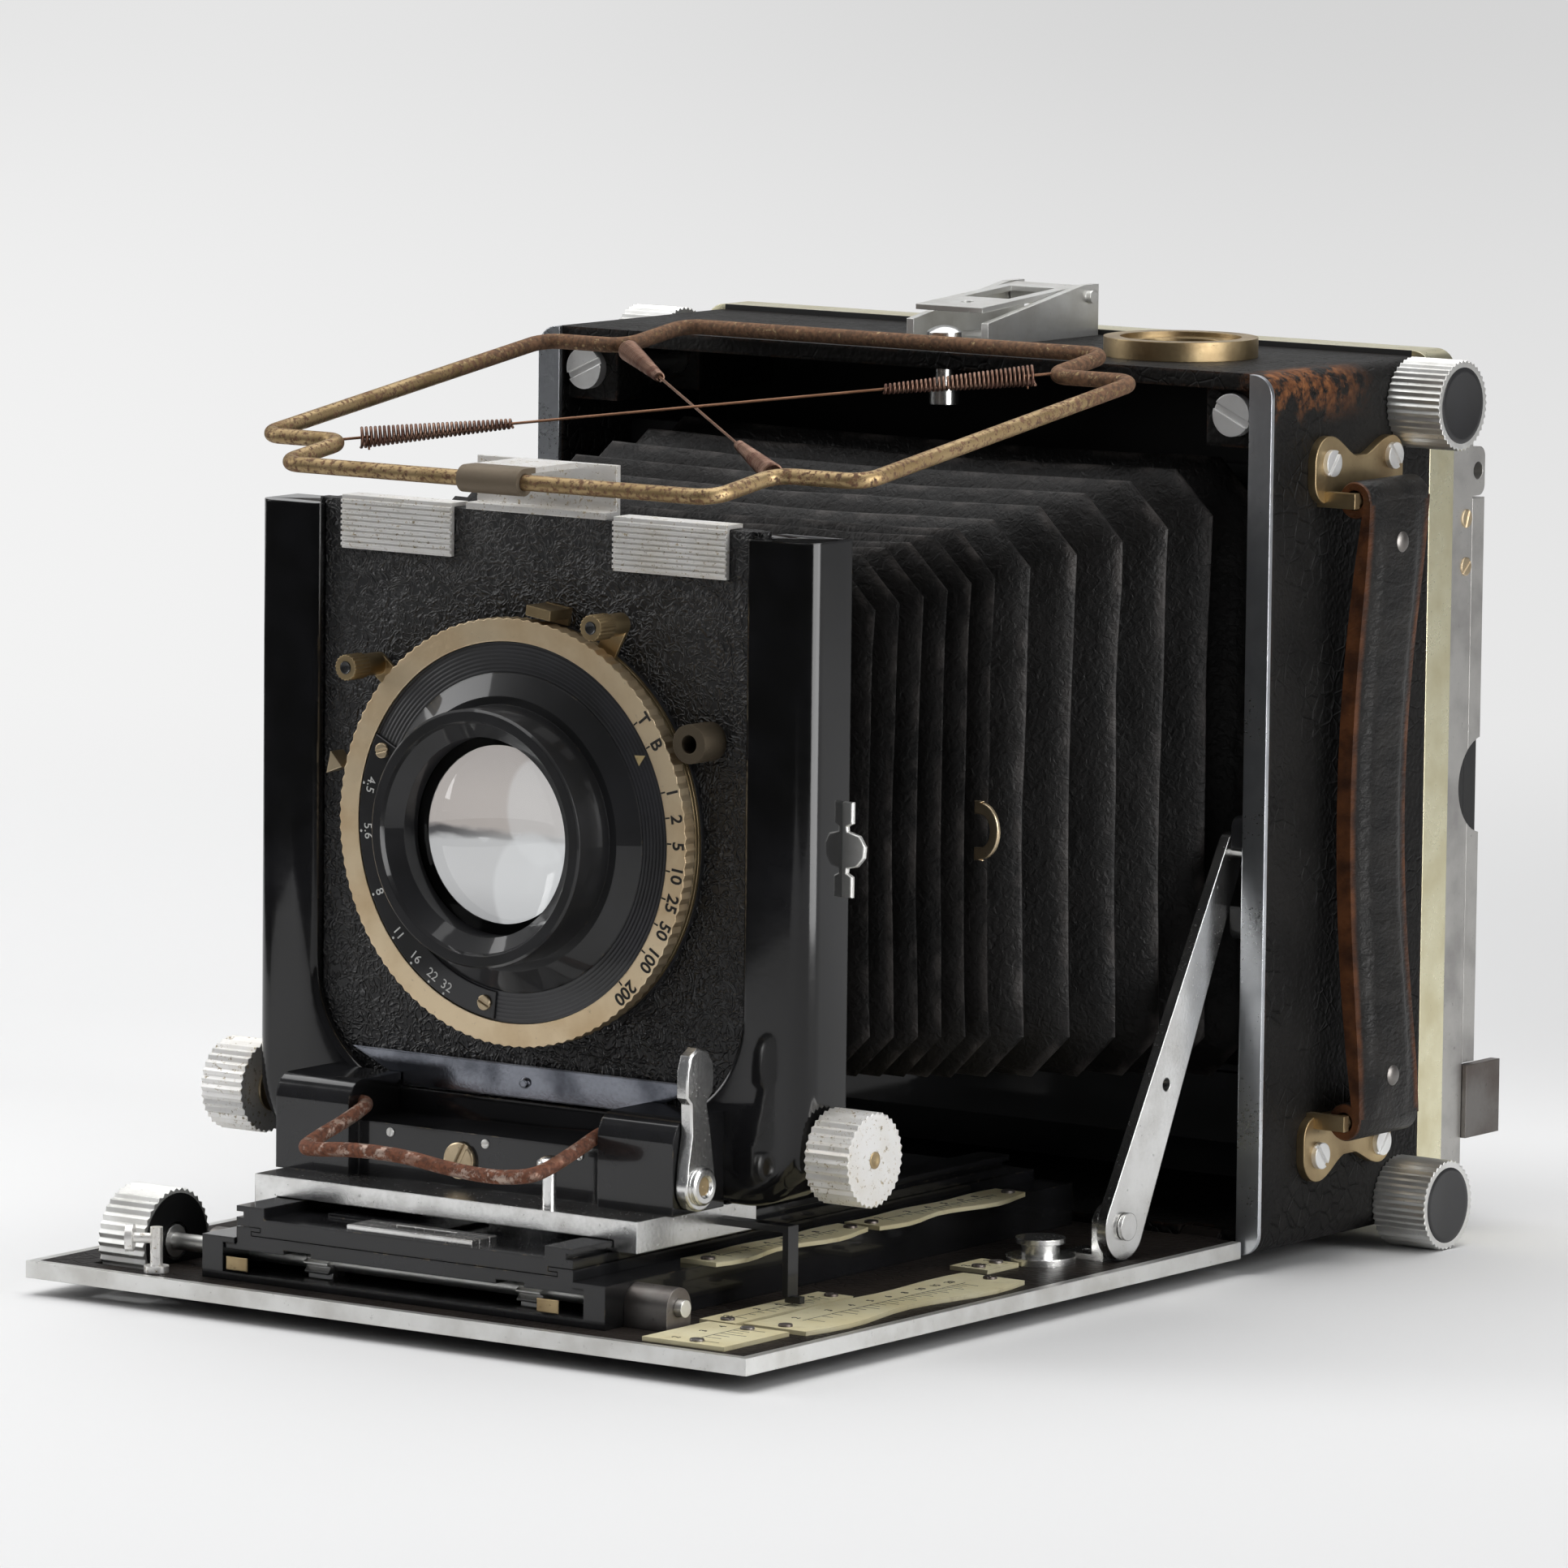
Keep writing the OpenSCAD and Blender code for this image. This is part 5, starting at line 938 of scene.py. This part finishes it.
speeds = {"T": 38, "B": 30, "1": 16, "2": 8.5, "5": 1, "10": -7, "25": -15.3, "50": -23.5,
          "100": -33, "200": -46}  # angles on the ring, in degrees
figures = [(text, on_lens(a, 35.7, RING_FACE, -90), 2.3) for text, a in speeds.items()]
lettering("speed_figures", figures, BLACK_INK, "speed", 0.018)
spots = [sized(on_lens(a + 0.6, 33.9, RING_FACE, -90), 0.28, 0.9, 0.05) for a in speeds.values()]
copies("speed_marks", spots, TICK, BLACK_INK, "speed")
stops = {"4.5": 169, "5.6": 184, "8": 204, "11": 219, "16": 229, "22": 237.5, "32": 244}
figures = [(text, on_lens(a, 31.2, PLATE_FACE, 90), 1.7) for text, a in stops.items()]
lettering("aperture_figures", figures, WHITE_INK, "lens_panel")
spots = [sized(on_lens(a, 32.7, PLATE_FACE), 0.3, 0.3, 0.05) for a in stops.values()]
dot = Shape().plate(circle(0.8, 12), -0.5, 0.5)
copies("aperture_dots", spots, dot, WHITE_INK, "lens_panel")

# %% [markdown]
# ## Shutter face
# The aperture scale is a curved black plate held by two small brass screws. A gilt triangle marks
# the speed that is set. Through the open shutter one sees the pale room on the focusing screen,
# upside down. A dish that glows with a painted picture of that lit room stands for that view,
# because the box behind is dark.

# %% shutter face
AXIS = at(0, 0, LENS_Z, "-y")
bow = circle(33.1, 30, 153, 264) + circle(28.2, 30, 264, 153)
plate = Shape().plate(bow, 38.7, 39.25, AXIS, 0.12)
plate.piece("aperture_plate", BARREL, "lens_panel", "black_enamel")
spots = [sized(on_lens(a, 30.6, 39.2, s), 1.35) for a, s in ((156.5, 40), (260, 75))]
copies("aperture_screws", spots, SCREW, PALE_BRASS, "lens_panel")
arrow = Shape()
arrow.plate([(-1.0, -0.9), (1.0, -0.9), (0, 1.1)], -0.03, 0.1, on_lens(29, 31.3, 38.75, -90))
arrow.piece("speed_index", GOLD_INK, "lens_panel", "old_brass")
cup = [(0.05, -0.2), (1.15, -0.2), (1.15, 0.06), (1.0, 0.1), (0.85, 0.02), (0.05, 0.02)]
# Dark cups painted near black stand for the shade in the holes of the lever eyes.
for body, angle in (("cocking", 62), ("release", 141)):
    eyelet = Shape().turned(cup, on_lens(angle, 42.5, 43.55), 24)
    eyelet.piece(f"{body}_eye", HOLE_SHADE, body, "black_matt")


def lens_view(name):
    """A painted, glowing picture of what the lens shows: a pale lit room upside down, its horizon a
    dark smear, and two bright windows.
    """
    p = Paint(name, Roughness=0.6, Emission_Strength=0.85)
    drop, wave = p.z - LENS_Z, p.noise(7, 4, stretch=(1, 1, 3))
    shade = p.mix(drop.span(-1.2, 1.2), (0.60, 0.60, 0.605), (0.50, 0.455, 0.43))
    shade = p.mix(drop.span(5, 15) * 0.55, shade, (0.36, 0.33, 0.32))
    shade = p.mix((1 - drop.span(-15, -7)) * 0.5, shade, (0.30, 0.30, 0.31))
    line = (drop + wave * 2.2 - 0.9).math("ABSOLUTE")
    smear = (1 - line.span(0.2, 1.3)) * (0.9 - p.x.span(-14, 6) * 0.6)
    shade = p.mix(smear, shade, (0.05, 0.05, 0.055))
    for x, z, r, glow in ((8, 4.5, 7.5, 0.35), (6, -9, 8.0, 0.45)):
        a, b = p.x - x, drop - z
        blob = (a * a + b * b * 0.6).math("SQRT")
        shade = p.mix((1 - blob.span(r - 1.0, r)) * glow, shade, (0.80, 0.81, 0.82))
    # The picture is emitted, so the dish glows though it is no lamp.
    return p.feed(p.mix(0.9, shade, (0.0, 0.0, 0.0)), Emission_Color=shade)


dish = [(0.05, 39.6), (6, 39.7), (12, 40.0), (14.9, 40.3)]
dish += [(14.9, 39.6), (12, 39.3), (6, 39.0), (0.05, 38.9)]
dish = Shape().turned(dish, AXIS, 48)
dish.piece("lens_view", lens_view("lens_view"), "lens_panel", "ground_glass")

# %% [markdown]
# ## Scales
# The distances are engraved on celluloid strips and filled with black: a ruled line, ticks that
# crowd together towards the far end, and a few plain numbers. Small screws hold each strip. The
# ticks are copies of one thin box, which is lighter than cutting grooves.

# %% scale marks
ON_BED, ON_RAIL = 6.8, 14.4  # heights of the strips' faces
strips = [(54, 71, -73.3, -54.3, ON_BED), (51.5, 59, -53.3, -18.3, ON_BED),
          (60.6, 72, -52.3, 13.7, ON_BED), (54, 62, 18.3, 28.1, ON_BED),
          (39.4, 46, -41.7, 5.3, ON_RAIL), (39.4, 46, 7.3, 54.3, ON_RAIL)]
distances = (2, 3, 4, 5, 6, 8, 10, 15, 20)
marks, numbers, screws = [], [], []
for x0, x1, y0, y1, z in strips:
    wide, long, middle = x1 - x0, y1 - y0, (x0 + x1) / 2
    marks.append(sized(at(middle, (y0 + y1) / 2, z), 0.16, long * 0.74, 0.05))
    screws += [sized(at(middle + wide * 0.08, y, z - 0.1, "z", 57 * y), 1.25)
               for y in (y0 + 2.2, y1 - 2.2)]
    count = max(4, round(long / 2.6))
    for i in range(count):
        y = y0 + long * (0.15 + 0.7 * (i / (count - 1)) ** 0.75)
        tall = i % 3 == 0
        off, size = (0.16, 0.32) if tall else (0.10, 0.2)
        marks.append(sized(at(middle + wide * off, y, z), wide * size, 0.17, 0.05))
        if tall:
            place = at(middle - wide * 0.2, y, z + 0.01, "z", 90)
            numbers.append((str(distances[i // 3]), place, 1.5))
copies("scale_ticks", marks, TICK, BLACK_INK, "bed")
lettering("scale_numbers", numbers, BLACK_INK, "bed")
copies("scale_screws", screws, SCREW, STEEL, "bed")

# %% [markdown]
# ## Knob faces
# A clamp knob is a fluted nickel rim with a black disc let into its face. The focus knob is hollow
# towards the bed, and a flat ring painted near black stands for the shade inside it. Each rise knob
# shows the end of its shaft. All of these are turned profiles, because the real ones come from a
# lathe.

# %% knob faces
RISE_Y, RISE_Z = -28.45, 32.9  # axis of the rise knobs
FOCUS_KNOB = -56.5, -60.7, 9.75  # middle of its inner face
for name in ("upper_right", "upper_left", "lower_right", "lower_left"):
    low, high = (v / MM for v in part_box(f"clamp_knob_{name}"))
    side, r, middle = (1 if "right" in name else -1), (high.z - low.z) / 2, (low + high) / 2
    disc = [(0.05, -0.2), (0.84 * r, -0.2), (0.84 * r, 0.05), (0.80 * r, 0.22), (0.72 * r, 0.15),
            (0.05, 0.15)]
    spot = at(high.x if side > 0 else low.x, middle.y, middle.z, OUT[side])
    Shape().turned(disc, spot, 48).piece(f"knob_face_{name}", MATT, f"knob_{name}", "black_matt")
# A flat ring painted near black stands for the shade inside the hollow knob.
hollow = [(3.4, -0.1), (8.5, -0.1), (8.5, 0.12), (8.1, 0.12), (7.6, 0.02), (3.4, 0.02)]
hollow = Shape().turned(hollow, at(*FOCUS_KNOB, "x"), 48)
hollow.piece("focus_knob_hollow", HOLE_SHADE, "focus_drive", "black_matt")
tip = [(0.05, -0.1), (1.5, -0.1), (1.5, 0.1), (1.2, 0.16), (0.9, 0.05), (0.05, 0.02)]
bush = [(2.6, -0.1), (4.3, -0.1), (4.3, 0.35), (4.0, 0.5), (3.0, 0.5), (2.6, 0.3)]
for name, profile, x, steps, paint, body in (
        ("rise_shaft_ends", tip, 70.2, 24, BRASS, "rise_drive"),
        ("rise_bushes", bush, 60, 32, PALE_BRASS, "standard")):
    pair = Shape()
    for side in (-1, 1):
        pair.turned(profile, at(side * x, RISE_Y, RISE_Z, OUT[side]), steps)
    pair.piece(name, paint, body, "old_brass")

# %% [markdown]
# ## Small fittings
# A hook on the right column catches a brass eye on the bellows when the camera is folded. Brass
# plugs close the ends of the rail, and a slotted plate on the upper track stops the carriage. Each
# is a flat outline with a chamfer, because the real ones are cut from sheet.

# %% small fittings
FACING = at(0, 0, 0, "-y")
hook = [(59.4, 77), (62.0, 77), (62.0, 80.6), (60.9, 81.2), (61.0, 82.0), (63.0, 82.4), (64.4, 84),
        (64.6, 86), (63.4, 87.8), (61.0, 88.4), (60.9, 89.2), (62.0, 89.8), (62.0, 93.5),
        (59.4, 93.5)]
hook = Shape().plate(hook, 23.8, 24.7, FACING, 0.2)
hook.piece("column_hook", SATIN, "standard", "bright_nickel")
arc = circle(1.0, 18, -90, 90)
eye_plate = [(3.9 * c, 5.0 * s) for c, s in arc] + [(0.6, 5.2), (-1.2, 5.2), (-1.2, 3.0)]
eye_plate += [(2.1 * c, 2.9 * s) for c, s in reversed(arc)]
eye_plate += [(-1.2, -3.0), (-1.2, -5.2), (0.6, -5.2)]
eye_piece = Shape().plate(eye_plate, -0.4, 0.4, at(60.6, 16.4, LENS_Z, "-y"), 0.15)
eye_piece = eye_piece.piece("bellows_eye", PALE_BRASS, slot="old_brass")
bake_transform(eye_piece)

stop = Shape()
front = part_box("upper_track")[0].y / MM
place = Matrix.Translation((0, max(0, front + 73.0), 0))  # the plate stays on the track
for bar in ((-13, -71.9, 14, -69.6), (-13, -66.8, 14, -64.8),
            (-13, -69.7, -6, -66.7), (7, -69.7, 14, -66.7)):
    stop.plate(rect(*bar), 17.2, 18.2, place, 0.12)
stop.piece("carriage_stop", NICKEL, "extension_track", "bright_nickel")
plugs = Shape()
for x in (-35.8, 31.5):
    plugs.plate(rect(x - 2.3, 7.8, x + 2.3, 10.2), 69.6, 69.95, FACING, 0.15)
plugs.piece("rail_plugs", BRASS, "bed", "old_brass")
BLOCK_Y = -46.7  # front of the standard's base block
spot = sized(at(-4.6, BLOCK_Y, 27.6, "-y", 62), 3.2, 3.2, 2.4)
copies("block_screw", [spot], SCREW, PALE_BRASS, "standard")
spots = [sized(at(x, BLOCK_Y, 31.0, "-y", s), 0.8, 0.8, 0.7)
         for x, s in ((0.7, 10), (-20, 80), (21, 130))]
copies("block_rivets", spots, SCREW, SATIN, "standard")

# %% [markdown]
# ## Carriage lever and back
# The lever that clamps the carriage ends in a rounded thumb tab. At the rear, two brass screws hold
# the eye lug to the grey plate, and the lid has a panel of the same leather as the box.

# %% carriage lever and back
low, high = (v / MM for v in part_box("clamp_lever"))
pivot = at(high.x - 3.8, -44.7, low.z + 4.4, "x")
tab = [(3.6, 18.4), (3.3, 21.2), (1.6, 23.4), (-1.2, 24.0), (-3.4, 22.8), (-4.3, 20.2),
       (-4.3, 15.6), (-3.1, 14.4), (-2.9, 9.0), (-4.0, 3.6)]
tab += circle(4.4, 24, 160, 380) + [(2.8, 9.0), (1.6, 14.4), (3.2, 15.8)]
arm = Shape().plate(tab, 0.05, 2.2, pivot, 0.3)
arm.turned([(1.6, 2.0), (3.3, 2.0), (3.3, 2.9), (2.9, 3.2), (2.0, 3.2), (1.6, 2.8)], pivot, 32)
arm.piece("carriage_lever_arm", NICKEL, "carriage_lever", "bright_nickel", ("clamp_lever",))
pin = Shape().turned([(0.05, 2.0), (1.7, 2.0), (1.7, 2.6), (0.05, 2.5)], pivot, 24)
pin.piece("carriage_lever_pin", BRASS, "carriage_lever", "old_brass")
spots = [sized(at(78.1, 146.5, z, "x", s), 1.7, 1.7, 1.0) for z, s in ((130.6, 70), (121.8, 40))]
copies("lug_screws", spots, SCREW, PALE_BRASS, "back")
low, high = (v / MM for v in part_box("screen_lid"))
behind = at(0, high.y - 0.25, 0, "y") @ Matrix.Diagonal((-1, 1, 1, 1))
cover = Shape().plate(rect(low.x + 9, low.z + 6, high.x - 9, high.z - 6), -0.1, 0.5, behind, 0.2)
cover.piece("lid_cover", HIDE, "lid", "leatherette")

# %% [markdown]
# ## Rounded columns
# The columns of the standard are drawn square in the CAD model. Here a copy of it gets the round
# front of the real casting, so that a narrow light runs down each column.

# %% rounded columns
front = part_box("standard_frame")[0].y
edit = bmesh.new()
edit.from_mesh(nodes["standard_frame"].data)
bmesh.ops.remove_doubles(edit, verts=edit.verts, dist=0.001 * MM)
bmesh.ops.dissolve_limit(edit, angle_limit=radians(1), verts=edit.verts, edges=edit.edges)


def front_edges(outward):
    """Edges of the front face whose side looks away from the lens, or towards it, but not up."""
    for edge in edit.edges:
        side = next((f.normal for f in edge.link_faces if abs(f.normal.y) < 0.1), None)
        if side and side.z < 0.999 and all(abs(v.co.y - front) < 0.01 * MM for v in edge.verts):
            middle = (edge.verts[0].co + edge.verts[1].co) / 2
            if (side.x * middle.x + side.z * (middle.z - LENS_Z * MM) > 0) == outward:
                yield edge


for outward, radius in ((True, 3.8), (False, 1.4)):
    bmesh.ops.bevel(edit, geom=list(front_edges(outward)), offset=radius * MM, offset_type="OFFSET",
                    segments=6, profile=0.5, affect="EDGES", clamp_overlap=False)
mesh = settled(edit, bpy.data.meshes.new("standard_casting"))
finished("standard_casting", mesh, COLUMN, "standard", ("standard_frame",))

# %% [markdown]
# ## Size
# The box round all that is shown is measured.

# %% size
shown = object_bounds()
